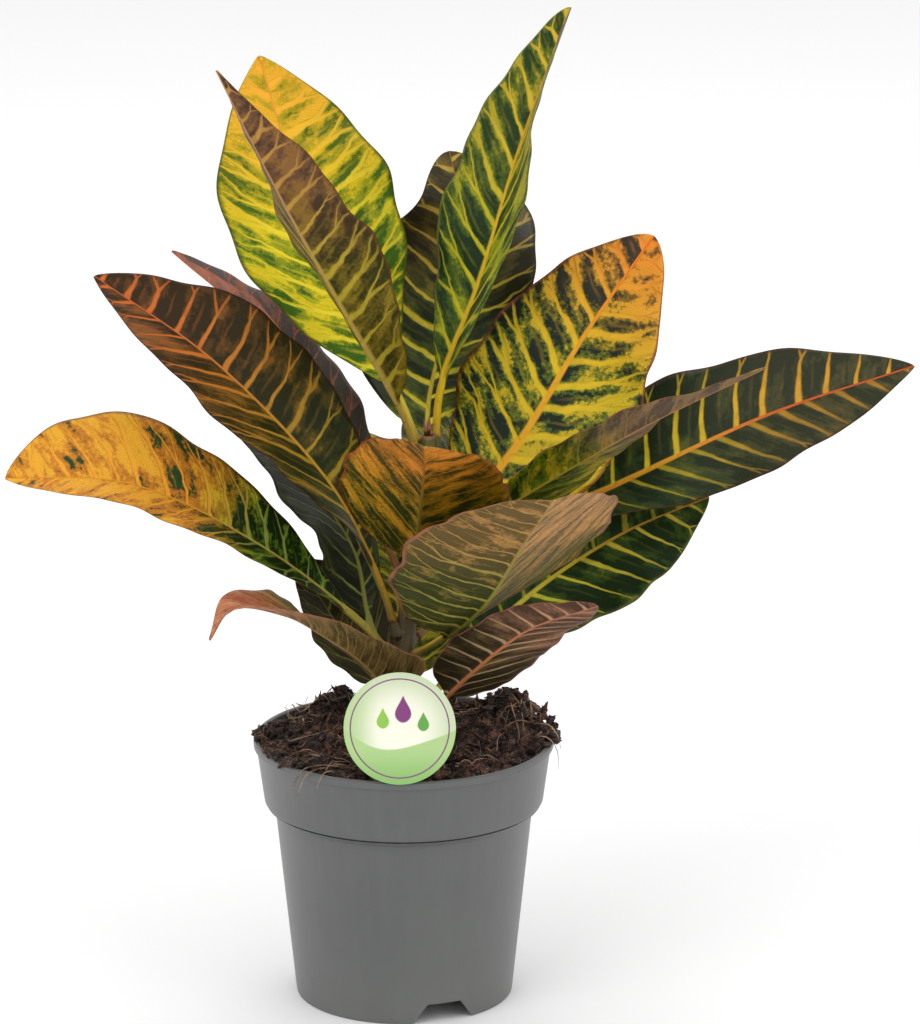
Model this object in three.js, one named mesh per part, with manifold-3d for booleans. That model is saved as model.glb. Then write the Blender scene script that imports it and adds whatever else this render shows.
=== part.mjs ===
// Potted croton: a young leafy plant in a 12 cm grey nursery pot, with a round plant label.
// Millimetres, +Z up. The origin is the middle of the pot's underside, -Y is the front.
import * as THREE from "three";
import { mergeVertices } from "three/addons/utils/BufferGeometryUtils.js";
import Module from "manifold-3d";

const wasm = await Module();
wasm.setup();
const { Manifold, Mesh: SolidMesh } = wasm;

// Pot: a thin moulded wall with a deep collar, a flat middle to stand on and a raised ring round it
const POT = {
  height: 106,
  rimRadius: 60,
  lipDepth: 3,
  collarDepth: 25.4,
  collarRadius: 55.9,
  bodyRadius: 51.4,
  footRadius: 43.6,
  wall: 1.3,
  padRadius: 24,
  ringHeight: 8.6,
  sides: 48,
};
const FOOT_NOTCH = { count: 3, first: -68.2, height: 8.3, widthAtFloor: 25, widthAtTop: 14 };
const DRAIN_HOLE = { count: 9, radius: 3.5, circle: 32.5 };

// Clear space left between neighbouring pieces
const GAP = 0.3;

// Soil: fills the pot to the rim, with crumbs of peat and coir sunk into its top
const SOIL = { level: 103, lump: 1.8, crumbs: 56, spilt: 14, crumbSize: 3.6, seed: 20 };
// Heaps in the soil: x, y, height, spread
const HEAPS = [[42, 16, 17, 15], [-25, 34, 11, 11], [-47, 4, 4, 12], [28, -36, 3, 12], [-34, -34, 2.5, 12]];

// Stem: woody, gently bent, bare at the foot
const STEM = {
  route: [[2, 0, 70], [1.7, 0, 106], [0.6, 0, 140], [2.6, 0, 163], [6.6, 0, 183], [9, 0, 206], [10.4, 0, 230]],
  footRadius: 4.7,
  topRadius: 3.1,
  sides: 10,
};
const CUSHION = { reach: 2.3, length: 7, radius: 2.3 };

// Label: a thin disc leaning back in front of the rim, on a flat spike pushed into the soil behind it
const LABEL = { radius: 21.8, thickness: 0.9, centre: [-0.9, -54, 126.4], lean: 18 };
const SPIKE = { width: 6, front: -53.6, top: 127, foot: 84, point: 6 };

// Leaves: all share this build, and each row below gives one leaf's place and blade
const LEAF = {
  petioleRadius: 1.5,
  petioleSteps: 4,
  bladeSteps: 17,
  thickness: 0.9,
  keel: 1.1,
};

const GREEN = 0x39502a;
const YELLOW = 0xa8a038;
const ORANGE = 0xb0803a;
const BROWN = 0x6b4f2e;
const MAROON = 0x6e4038;
const DARK = 0x2b3626;

/*
  height: where the leaf leaves the stem.
  route: points of the midrib after the leaf's seat, the last one at the tip.
  petiole: length of the leaf's stalk.
  half: widest half width left and right of the midrib, seen from above with the tip ahead.
  peak: how far along the blade each half is widest, from 0 to 1.
  ends: how the blade narrows to its base and to its tip (below 1 blunt, above 1 drawn out).
  roll: turn of the blade about its midrib at base and tip, in degrees.
  fold: how steeply the left and right halves rise from the midrib, in degrees.
  cup: extra rise (or fall, if below 0) of each half towards its margin, in degrees.
  wave: height and number of waves along the margins.
*/
const LEAVES = {
  leaf_top_yellow: {
    height: 226, petiole: 22, route: [[-2, 9, 244], [-22, 22, 279], [-42, 38, 324], [-57, 50, 372]],
    half: [33, 35], peak: [0.57, 0.55], ends: [1, 0.85], roll: [-45, -45], fold: [6, 6], cup: 4, wave: [1.5, 3],
    color: YELLOW,
  },
  leaf_top_brown_back: {
    height: 224, petiole: 22, route: [[-2, -9, 246], [-22, -20, 285], [-42, -32, 325], [-69, -45, 383]],
    half: [30, 30], peak: [0.5, 0.5], ends: [0.8, 1.1], roll: [0, 0], fold: [30, 12], cup: 0, wave: [1, 3],
    color: BROWN,
  },
  leaf_top_tall: {
    height: 228, petiole: 20, route: [[15, 9, 247], [30, 25, 285], [46, 40, 336], [66, 52, 391]],
    half: [25.5, 38], peak: [0.52, 0.75], ends: [0.9, 0.64], roll: [0, 0], fold: [20, 32], cup: 0, wave: [1, 3],
    color: GREEN,
  },
  leaf_top_dark: {
    height: 217, petiole: 14, route: [[10, 28, 236], [18, 61, 266], [24, 80, 298], [18, 90, 326]],
    half: [37, 34], peak: [0.44, 0.57], ends: [0.75, 0.6], roll: [0, 0], fold: [5, 5], cup: 0, wave: [1.5, 3],
    color: DARK,
  },
  leaf_right_orange: {
    height: 190, petiole: 12, route: [[18, 2, 193], [43, 8, 221], [72, 20, 266], [99, 28, 304]],
    half: [35.4, 38.5], peak: [0.42, 0.4], ends: [0.62, 0.65], roll: [45, 45], fold: [4, 4], cup: 4, wave: [1.2, 3],
    color: ORANGE,
  },
  leaf_right_long: {
    height: 172, petiole: 30, route: [[26, 4, 183], [82, 14, 205], [144, 16, 234], [201, 8, 256]],
    half: [30.5, 25], peak: [0.45, 0.6], ends: [1.5, 0.8], roll: [55, 55], fold: [6, 12], cup: 0, wave: [1.5, 3],
    color: DARK,
  },
  leaf_right_brown_back: {
    height: 181, petiole: 22, route: [[21, -16, 193], [59, -34, 222.5], [95, -46, 247], [139, -52, 270]],
    half: [24, 15], peak: [0.3, 0.5], ends: [1.3, 1.1], roll: [-40, -20], fold: [14, 14], cup: 0, wave: [1, 3],
    color: BROWN,
  },
  leaf_low_right_dark: {
    height: 113, petiole: 26, route: [[14, 4, 125], [48, 14, 158.5], [86, 22, 183], [122, 26, 198]],
    half: [30, 28.5], peak: [0.55, 0.62], ends: [0.8, 0.8], roll: [50, 50], fold: [8, 8], cup: 0, wave: [1, 3],
    color: DARK,
  },
  leaf_front_orange_back: {
    height: 163, petiole: 22, route: [[5, -18, 182], [7, -45, 210], [9, -80, 237], [9, -108, 253]],
    half: [34, 34], peak: [0.35, 0.33], ends: [0.6, 0.7], roll: [-8, -12], fold: [16, 16], cup: 4, wave: [1, 3],
    color: ORANGE,
  },
  leaf_front_tan_back: {
    height: 142, petiole: 20, route: [[14, -14, 150], [31, -38, 171], [46, -68, 204], [57, -96, 229]],
    half: [51, 44], peak: [0.43, 0.48], ends: [0.7, 0.55], roll: [0, 0], fold: [14, 12], cup: 4, wave: [1, 3],
    color: BROWN,
  },
  leaf_low_right_pink_back: {
    height: 114, petiole: 18, route: [[13, -8, 121], [28, -24, 141], [50, -46, 165], [75, -64, 179]],
    half: [16, 15], peak: [0.4, 0.25], ends: [0.45, 0.6], roll: [-50, -50], fold: [12, 0], cup: 4, wave: [1, 3],
    color: MAROON,
  },
  leaf_low_left_curled: {
    height: 118, petiole: 14,
    route: [[-13, -20, 141], [-31, -40, 161], [-45, -50, 171.5], [-65.5, -58, 176], [-74, -60, 164]],
    half: [25, 24], peak: [0.17, 0.45], ends: [0.6, 1.0], roll: [0, 0], fold: [12, 12], cup: 4, wave: [1, 2],
    color: BROWN,
  },
  leaf_left_long: {
    height: 155, petiole: 24, route: [[-8, -4, 168], [-27, -10, 210], [-72, -14, 262], [-119, -14, 297]],
    half: [29, 31], peak: [0.5, 0.5], ends: [0.9, 0.8], roll: [-30, -40], fold: [14, 20], cup: 0, wave: [1, 3],
    color: MAROON,
  },
  leaf_left_thin: {
    height: 166, petiole: 24, route: [[-3, 12, 174], [-27, 26, 221], [-56, 36, 264], [-92, 42, 295]],
    half: [20, 23], peak: [0.5, 0.5], ends: [0.9, 0.85], roll: [10, 10], fold: [30, 30], cup: 0, wave: [1, 3],
    color: MAROON,
  },
  leaf_left_yellow: {
    height: 141, petiole: 24, route: [[-17, -5, 155], [-58, -14, 190], [-106, -22, 216], [-154, -28, 220]],
    half: [19.5, 28.3], peak: [0.58, 0.74], ends: [1.0, 0.7], roll: [-50, -50], fold: [36, 5], cup: 0, wave: [1.2, 3],
    color: YELLOW,
  },
  leaf_left_dark: {
    height: 135, petiole: 20, route: [[-13, 11, 148], [-20, 20, 177], [-40, 23, 206], [-73, 26, 236]],
    half: [32, 14], peak: [0.5, 0.5], ends: [0.9, 1], roll: [-20, -20], fold: [15, 15], cup: 0, wave: [1, 3],
    color: DARK,
  },
  leaf_low_left_dark: {
    height: 116, petiole: 12, route: [[-10, 6, 124], [-24, 12, 144], [-44, 20, 175]],
    half: [18, 26], peak: [0.5, 0.5], ends: [0.5, 1], roll: [-20, -20], fold: [15, 15], cup: 0, wave: [1, 2],
    color: DARK,
  },
  leaf_back_middle: {
    height: 118, petiole: 10, route: [[0, 16, 126], [-2, 34, 144], [-6, 66, 172]],
    half: [30, 30], peak: [0.5, 0.5], ends: [0.6, 1], roll: [0, 0], fold: [12, 12], cup: 0, wave: [1, 3],
    color: GREEN,
  },
  leaf_back_upper_right: {
    height: 208, petiole: 14, route: [[15, 22, 210], [42, 60, 228], [76, 95, 246]],
    half: [34, 27], peak: [0.4, 0.5], ends: [0.5, 1], roll: [0, 0], fold: [12, 12], cup: 0, wave: [1, 3],
    color: GREEN,
  },
  leaf_back_right: {
    height: 146, petiole: 22, route: [[18, 20, 153], [47, 60, 171], [89, 95, 191]],
    half: [28, 28], peak: [0.5, 0.5], ends: [0.9, 1], roll: [0, 0], fold: [12, 12], cup: 0, wave: [1, 3],
    color: DARK,
  },
  leaf_back_left: {
    height: 175, petiole: 22, route: [[2, 26, 179], [-10, 62, 196], [-28, 92, 210]],
    half: [26, 26], peak: [0.5, 0.5], ends: [0.9, 1], roll: [0, 0], fold: [12, 12], cup: 0, wave: [1, 3],
    color: GREEN,
  },
};

const vec = (p) => new THREE.Vector3(...p);
const rad = THREE.MathUtils.degToRad;

// Repeatable random numbers from 0 to 1
function randomSource(seed) {
  let state = seed;
  return () => {
    state = (state * 1664525 + 1013904223) % 4294967296;
    return state / 4294967296;
  };
}

// Closed three.js geometry to a manifold-3d solid, and back
function toSolid(geometry) {
  const bare = new THREE.BufferGeometry();
  bare.setAttribute("position", geometry.getAttribute("position"));
  bare.setIndex(geometry.getIndex());
  const merged = mergeVertices(bare, 1e-4);
  return new Manifold(new SolidMesh({
    numProp: 3,
    vertProperties: merged.attributes.position.array,
    triVerts: new Uint32Array(merged.index.array),
  }));
}

function toGeometry(solid) {
  const mesh = solid.getMesh();
  const geometry = new THREE.BufferGeometry();
  geometry.setAttribute("position", new THREE.BufferAttribute(mesh.vertProperties, 3));
  geometry.setIndex(new THREE.BufferAttribute(mesh.triVerts, 1));
  return geometry;
}

// Solid turned about the Z axis from a closed profile of [radius, height] points
function turned(profile, sides) {
  const points = profile.map(([r, z]) => new THREE.Vector2(r, z));
  return new THREE.LatheGeometry(points, sides).rotateX(Math.PI / 2);
}

// Surface skinned over rings of equally many points, with its two ends closed
function loft(rings) {
  const count = rings[0].length;
  const positions = rings.flat().flatMap((p) => [p.x, p.y, p.z]);
  const index = [];
  for (let i = 0; i + 1 < rings.length; i++) {
    for (let j = 0; j < count; j++) {
      const a = i * count + j;
      const b = i * count + (j + 1) % count;
      index.push(a, b, b + count, a, b + count, a + count);
    }
  }
  const last = (rings.length - 1) * count;
  for (let j = 1; j + 1 < count; j++) {
    index.push(0, j + 1, j);
    index.push(last, last + j, last + j + 1);
  }
  const geometry = new THREE.BufferGeometry();
  geometry.setAttribute("position", new THREE.Float32BufferAttribute(positions, 3));
  geometry.setIndex(index);
  return geometry;
}

// Pot
function potProfile() {
  const { height, rimRadius, lipDepth, collarDepth, collarRadius, bodyRadius, footRadius, wall } = POT;
  const { padRadius, ringHeight } = POT;
  const shoulder = height - collarDepth;
  const outside = [
    [0, 0], [padRadius, 0], [padRadius + 2, ringHeight],
    [footRadius - 3.5, ringHeight], [footRadius - 2.5, 0], [footRadius - 0.8, 0], [footRadius, 1.2],
    [bodyRadius, shoulder - 4], [bodyRadius + 0.8, shoulder - 3.2], [collarRadius - 1, shoulder - 0.7],
    [collarRadius, shoulder + 1], [rimRadius - 1.2, height - lipDepth - 0.3],
    [rimRadius - 0.3, height - lipDepth + 0.3], [rimRadius, height - 1], [rimRadius - 0.7, height],
  ];
  const inside = [
    [rimRadius - 2, height], [rimRadius - 2.6, height - 1], [collarRadius + 1.5 - wall, height - 13],
    [collarRadius - wall, shoulder + 1], [bodyRadius + 0.8 - wall, shoulder - 3],
    [bodyRadius - wall - 0.6, shoulder - 8], [footRadius - wall + 0.5, ringHeight + wall + 1.5],
    [footRadius - wall - 1, ringHeight + wall], [padRadius + 1.2 - wall + 1.8, ringHeight + wall],
    [padRadius - wall, wall], [0, wall],
  ];
  return { outside, inside };
}

function footNotch(angle) {
  const { height, widthAtFloor, widthAtTop } = FOOT_NOTCH;
  const outline = new THREE.Shape([
    new THREE.Vector2(-widthAtFloor / 2 - 1, -1),
    new THREE.Vector2(widthAtFloor / 2 + 1, -1),
    new THREE.Vector2(widthAtTop / 2, height),
    new THREE.Vector2(-widthAtTop / 2, height),
  ]);
  return new THREE.ExtrudeGeometry(outline, { depth: 10, bevelEnabled: false })
    .rotateX(Math.PI / 2)
    .rotateZ(Math.PI / 2)
    .translate(POT.footRadius - 5.5, 0, 0)
    .rotateZ(rad(angle));
}

function drainHole(angle) {
  return new THREE.CylinderGeometry(DRAIN_HOLE.radius, DRAIN_HOLE.radius, 8, 12)
    .rotateX(Math.PI / 2)
    .translate(DRAIN_HOLE.circle, 0, POT.ringHeight)
    .rotateZ(rad(angle));
}

function makePot() {
  const { outside, inside } = potProfile();
  const body = toSolid(turned([...outside, ...inside], POT.sides));
  const cuts = [];
  for (let i = 0; i < FOOT_NOTCH.count; i++) {
    cuts.push(toSolid(footNotch(FOOT_NOTCH.first + i * 360 / FOOT_NOTCH.count)));
  }
  for (let i = 0; i < DRAIN_HOLE.count; i++) {
    cuts.push(toSolid(drainHole(FOOT_NOTCH.first + (i + 0.5) * 360 / DRAIN_HOLE.count)));
  }
  return toGeometry(body.subtract(Manifold.union(cuts)));
}

// Stem and the cushions that carry the leaves
const stemCurve = new THREE.CatmullRomCurve3(STEM.route.map(vec));

function stemAt(height) {
  let low = 0;
  let high = 1;
  for (let i = 0; i < 24; i++) {
    const middle = (low + high) / 2;
    if (stemCurve.getPoint(middle).z < height) low = middle;
    else high = middle;
  }
  const share = (height - STEM.route[0][2]) / (STEM.route.at(-1)[2] - STEM.route[0][2]);
  const radius = THREE.MathUtils.lerp(STEM.footRadius, STEM.topRadius, share);
  return { centre: stemCurve.getPoint(low), radius };
}

function leafCurve(leaf) {
  const { centre, radius } = stemAt(leaf.height);
  const out = vec(leaf.route[0]).sub(centre).setZ(0).normalize();
  const seat = centre.clone().addScaledVector(out, radius + CUSHION.reach);
  return new THREE.CatmullRomCurve3([seat, ...leaf.route.map(vec)]);
}

function stemRings() {
  const steps = 16;
  const rings = [];
  for (let i = 0; i <= steps; i++) {
    const centre = stemCurve.getPoint(i / steps);
    const radius = THREE.MathUtils.lerp(STEM.footRadius, STEM.topRadius, i / steps);
    rings.push(Array.from({ length: STEM.sides }, (_, j) => {
      const angle = j / STEM.sides * 2 * Math.PI;
      return centre.clone().add(new THREE.Vector3(radius * Math.cos(angle), radius * Math.sin(angle), 0));
    }));
  }
  return rings;
}

function cushion(leaf) {
  const curve = leafCurve(leaf);
  const seat = curve.getPoint(0);
  const along = curve.getTangent(0);
  const turn = new THREE.Quaternion().setFromUnitVectors(new THREE.Vector3(0, 1, 0), along);
  const middle = seat.clone().addScaledVector(along, -GAP - CUSHION.length / 2);
  return new THREE.CylinderGeometry(CUSHION.radius * 0.85, CUSHION.radius, CUSHION.length, 8)
    .applyQuaternion(turn)
    .translate(...middle.toArray());
}

function makeStem() {
  const top = stemCurve.getPoint(1);
  const bud = new THREE.ConeGeometry(STEM.topRadius * 0.95, 9, 8)
    .rotateX(Math.PI / 2)
    .translate(top.x, top.y, top.z + 3.5);
  const pieces = [toSolid(loft(stemRings())), toSolid(bud)];
  for (const leaf of Object.values(LEAVES)) pieces.push(toSolid(cushion(leaf)));
  return toGeometry(Manifold.union(pieces));
}

// Soil
function soilHeight(x, y) {
  const lumps = Math.sin(x * 0.17 + 1) * Math.cos(y * 0.21) + 0.6 * Math.sin(x * 0.41 + y * 0.33);
  let height = SOIL.level + SOIL.lump * lumps;
  for (const [hx, hy, rise, spread] of HEAPS) {
    height += rise * Math.exp(-((x - hx) ** 2 + (y - hy) ** 2) / spread ** 2);
  }
  const edge = THREE.MathUtils.smoothstep(Math.hypot(x, y), 48, 57);
  return THREE.MathUtils.lerp(height, SOIL.level + 1.5, edge * 0.35);
}

function soilBody() {
  const { inside } = potProfile();
  const wall = inside.slice(1).map(([r, z]) => [r - GAP, z]).reverse();
  const profile = [[0, POT.wall + GAP]];
  for (const [r, z] of wall.slice(1, -1)) profile.push([r, z + (z < 12 ? GAP : 0)]);
  const rim = POT.rimRadius - 2.6 - GAP - 0.4;
  for (const r of [rim, 51, 42, 32, 21, 10]) profile.push([r, SOIL.level]);
  profile.push([0, SOIL.level]);
  const geometry = turned(profile, POT.sides);
  const position = geometry.getAttribute("position");
  for (let i = 0; i < position.count; i++) {
    if (Math.abs(position.getZ(i) - SOIL.level) < 1e-3) {
      position.setZ(i, soilHeight(position.getX(i), position.getY(i)));
    }
  }
  return toSolid(geometry);
}

function crumb(x, y, z, size, random) {
  return toSolid(new THREE.OctahedronGeometry(size)
    .scale(1, 0.75 + 0.5 * random(), 0.8)
    .rotateZ(6 * random())
    .rotateX(random() - 0.5)
    .translate(x, y, z));
}

function crumbs() {
  const random = randomSource(SOIL.seed);
  const solids = [];
  for (let i = 0; i < SOIL.crumbs; i++) {
    const radius = 52 * Math.sqrt(random());
    const angle = 2 * Math.PI * random();
    const [x, y] = [radius * Math.cos(angle), radius * Math.sin(angle)];
    const size = SOIL.crumbSize * (0.6 + 0.7 * random());
    solids.push(crumb(x, y, soilHeight(x, y) + 0.1 * size, size, random));
  }
  // Crumbs lying over the rim at the right and, fewer, at the left
  for (let i = 0; i < SOIL.spilt; i++) {
    const left = i % 4 === 0;
    const radius = left ? 53 + 4 * random() : 54 + 7 * random();
    const angle = rad(left ? 172 + 22 * random() : -14 + 50 * random());
    const size = SOIL.crumbSize * (0.9 + 0.5 * random());
    solids.push(crumb(radius * Math.cos(angle), radius * Math.sin(angle), POT.height + 1.2, size, random));
  }
  return solids;
}

function stemHole() {
  const { centre, radius } = stemAt(106);
  return new THREE.CylinderGeometry(radius + 1.2, radius + 1.2, 60, 16)
    .rotateX(Math.PI / 2)
    .translate(centre.x + 0.1, centre.y, 69.6 + 30);
}

// Label
function spikeSolid(clearance) {
  const half = SPIKE.width / 2 + clearance;
  const depth = LABEL.thickness + 2 * clearance;
  const outline = new THREE.Shape([
    new THREE.Vector2(-half, SPIKE.top),
    new THREE.Vector2(-half, SPIKE.foot + SPIKE.point - clearance),
    new THREE.Vector2(0, SPIKE.foot - 2 * clearance),
    new THREE.Vector2(half, SPIKE.foot + SPIKE.point - clearance),
    new THREE.Vector2(half, SPIKE.top),
  ]);
  return toSolid(new THREE.ExtrudeGeometry(outline, { depth, bevelEnabled: false })
    .rotateX(Math.PI / 2)
    .translate(LABEL.centre[0], SPIKE.front + depth / 2, 0));
}

function discSolid(clearance) {
  const radius = LABEL.radius + clearance;
  return toSolid(new THREE.CylinderGeometry(radius, radius, LABEL.thickness + 2 * clearance, 48)
    .rotateX(rad(180 - LABEL.lean))
    .translate(...LABEL.centre));
}

function makeLabel() {
  return toGeometry(discSolid(0).add(spikeSolid(0)));
}

function makeSoil() {
  const fill = Manifold.union([soilBody(), ...crumbs()]);
  const above = new THREE.CylinderGeometry(POT.rimRadius + 8, POT.rimRadius + 8, 30, POT.sides)
    .rotateX(Math.PI / 2)
    .translate(0, 0, POT.height + GAP + 15);
  const inside = new THREE.CylinderGeometry(POT.rimRadius - 3.2, POT.rimRadius - 3.2, POT.height + 10, POT.sides)
    .rotateX(Math.PI / 2)
    .translate(0, 0, POT.height / 2 + 4.9);
  const within = toSolid(above).add(toSolid(inside));
  const cut = fill.intersect(within).subtract(toSolid(stemHole())).subtract(discSolid(0.5)).subtract(spikeSolid(0.5));
  const pieces = cut.decompose().sort((a, b) => b.volume() - a.volume());
  return toGeometry(pieces[0]);
}

// Leaves
function bladeWidth(share, peak, ends) {
  if (share < peak) return Math.sin(Math.PI / 2 * share / peak) ** ends[0];
  return Math.cos(Math.PI / 2 * (share - peak) / (1 - peak)) ** ends[1];
}

// Ring of ten points round the leaf at one place: five above and five below
function leafRing(leaf, curve, length, distance) {
  const { petioleRadius, thickness, keel } = LEAF;
  const share = Math.max(0, (distance - leaf.petiole) / (length - leaf.petiole));
  const place = curve.getPointAt(distance / length);
  const along = curve.getTangentAt(distance / length);
  const side = new THREE.Vector3(0, 0, 1).cross(along).normalize();
  const up = along.clone().cross(side);
  const roll = rad(THREE.MathUtils.lerp(leaf.roll[0], leaf.roll[1], THREE.MathUtils.smoothstep(share, 0, 1)));
  const across = side.clone().multiplyScalar(Math.cos(roll)).addScaledVector(up, Math.sin(roll));
  const above = up.clone().multiplyScalar(Math.cos(roll)).addScaledVector(side, -Math.sin(roll));
  const spread = THREE.MathUtils.smoothstep(share, 0, 0.06);
  const point = (a, b) => place.clone().addScaledVector(across, a).addScaledVector(above, b);
  const upper = [];
  const lower = [];
  for (const q of [1, 0.5, 0, -0.5, -1]) {
    const hand = q > 0 ? 0 : 1;
    const width = bladeWidth(share, leaf.peak[hand], leaf.ends);
    const fold = rad(leaf.fold[hand]);
    const bend = rad(leaf.cup) * Math.abs(q);
    const reach = Math.abs(q) * (0.9 + leaf.half[hand] * width);
    const wave = leaf.wave[0] * q * q * width * Math.sin(2 * Math.PI * leaf.wave[1] * share + 1.7 * hand);
    const a = Math.sign(q) * reach * Math.cos(fold + bend / 2);
    const b = reach * Math.sin(fold + bend / 2) + wave;
    const tilt = Math.sign(q) * (fold + bend);
    const skin = thickness / 2 * (1 - 0.25 * Math.abs(q));
    const rib = q === 0 ? keel * (1 - share) : 0;
    const angle = Math.PI / 2 * (1 - q * 0.8);
    const stalk = petioleRadius;
    const flat = (sign, extra) => [a - sign * Math.sin(tilt) * (skin + extra), b + sign * Math.cos(tilt) * (skin + extra)];
    const round = (sign) => [stalk * Math.cos(angle), sign * stalk * Math.sin(angle)];
    const mix = (from, to) => point(
      THREE.MathUtils.lerp(from[0], to[0], spread),
      THREE.MathUtils.lerp(from[1], to[1], spread),
    );
    upper.push(mix(round(1), flat(1, 0)));
    lower.unshift(mix(round(-1), flat(-1, rib)));
  }
  return [...upper, ...lower];
}

function makeLeaf(leaf) {
  const curve = leafCurve(leaf);
  const length = curve.getLength();
  const { petioleSteps, bladeSteps } = LEAF;
  const rings = [];
  for (let i = 0; i < petioleSteps; i++) {
    rings.push(leafRing(leaf, curve, length, leaf.petiole * i / petioleSteps));
  }
  for (let i = 0; i <= bladeSteps; i++) {
    const share = i / bladeSteps;
    rings.push(leafRing(leaf, curve, length, leaf.petiole + (length - leaf.petiole) * share));
  }
  return loft(rings);
}

// Assembly
const plant = new THREE.Group();

function place(name, geometry, color, roughness) {
  const material = new THREE.MeshStandardMaterial({ color, roughness, metalness: 0, flatShading: true });
  const mesh = new THREE.Mesh(geometry, material);
  mesh.name = name;
  plant.add(mesh);
}

place("pot", makePot(), 0x6c706b, 0.55);
place("soil", makeSoil(), 0x3a241b, 0.95);
place("stem", makeStem(), 0x4b4a2c, 0.8);
place("label", makeLabel(), 0xdfe8c8, 0.35);
for (const [name, leaf] of Object.entries(LEAVES)) place(name, makeLeaf(leaf), leaf.color, 0.4);

export default plant;
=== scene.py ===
"""Looks of the potted croton: pot, soil, stem, plant label and twenty-one variegated leaves.

Lengths in fields and tables are millimetres, apart from the studio's, and meshes are made in metres by MM.
Colours in fields and tables are sRGB, 0 to 255.
"""

import logging
import math
import random
from dataclasses import dataclass
from enum import Enum
from typing import Any, Callable, Sequence

import bpy
import numpy as np
from mathutils import Euler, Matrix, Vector, noise


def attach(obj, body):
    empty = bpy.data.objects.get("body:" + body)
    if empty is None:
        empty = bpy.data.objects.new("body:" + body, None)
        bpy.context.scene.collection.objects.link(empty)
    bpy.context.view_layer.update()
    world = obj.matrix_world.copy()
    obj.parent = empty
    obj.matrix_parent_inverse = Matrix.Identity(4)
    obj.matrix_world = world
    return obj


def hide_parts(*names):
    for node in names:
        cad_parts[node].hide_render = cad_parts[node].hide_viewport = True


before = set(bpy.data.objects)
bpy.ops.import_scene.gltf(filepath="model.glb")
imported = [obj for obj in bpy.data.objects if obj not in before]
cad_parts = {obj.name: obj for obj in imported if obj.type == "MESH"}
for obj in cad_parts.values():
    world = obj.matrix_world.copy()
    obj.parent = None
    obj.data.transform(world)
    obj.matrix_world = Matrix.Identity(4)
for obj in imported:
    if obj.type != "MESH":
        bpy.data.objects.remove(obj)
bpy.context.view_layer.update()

MM = 0.001
TURN = 2 * math.pi
log = logging.getLogger("croton")
Array = np.ndarray
Colour = tuple[float, float, float]
Pair = tuple[float, float]
Piece = bpy.types.Object


def srgb(red: int, green: int, blue: int) -> Colour:
    """Linear colour of an sRGB one given in steps of 255."""
    return tuple(((c / 255 + 0.055) / 1.055) ** 2.4 if c > 10 else c / 3294 for c in (red, green, blue))


def lit(colour: Colour) -> Colour:
    """Colour of a leaf's surface that looks like the given one in daylight and gloss.

    Args:
        colour: sRGB colour as it should look.

    Returns:
        Linear colour for the shader.
    """
    gain, blue_gain, blue_drop = 0.94, 0.72, 0.001
    red, green, blue = srgb(*colour)
    return (red * gain, green * gain, max(0.0, blue * blue_gain - blue_drop))


def smooth(value: Any, low: float, high: float) -> Any:
    """Smooth step from 0 at low to 1 at high."""
    share = np.clip((value - low) / (high - low), 0, 1)
    return share * share * (3 - 2 * share)


def maths(operation: str) -> Callable[..., "Val"]:
    """Method of Val that adds a Math node of an operation.

    Args:
        operation: Name of the Math node's operation.

    Returns:
        The method.
    """

    def method(self: "Val", *others: Any) -> "Val":
        """Result of the operation on the socket and what follows it."""
        return self.shade.math(operation, self, *others)

    return method


class Val:
    """An output socket on which Python's operators add Math nodes."""

    __add__ = __radd__ = maths("ADD")
    __sub__ = maths("SUBTRACT")
    __mul__ = __rmul__ = maths("MULTIPLY")
    __truediv__ = maths("DIVIDE")
    __pow__ = maths("POWER")
    __abs__ = maths("ABSOLUTE")
    __gt__ = maths("GREATER_THAN")
    frac = maths("FRACT")

    def __init__(self, shade: "Shade", socket: Any) -> None:
        """Wraps one socket of a shade's node tree."""
        self.shade = shade
        self.socket = socket

    def __rsub__(self, other: Any) -> "Val":
        """Difference with the socket on the right."""
        return self.shade.math("SUBTRACT", other, self)

    def step(self, low: Any, high: Any) -> "Val":
        """Smooth step from 0 at low to 1 at high; low may lie above high."""
        inputs = {"Value": self, "From Min": low, "From Max": high}
        return self.shade.add("ShaderNodeMapRange", {"interpolation_type": "SMOOTHSTEP"}, inputs)


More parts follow.
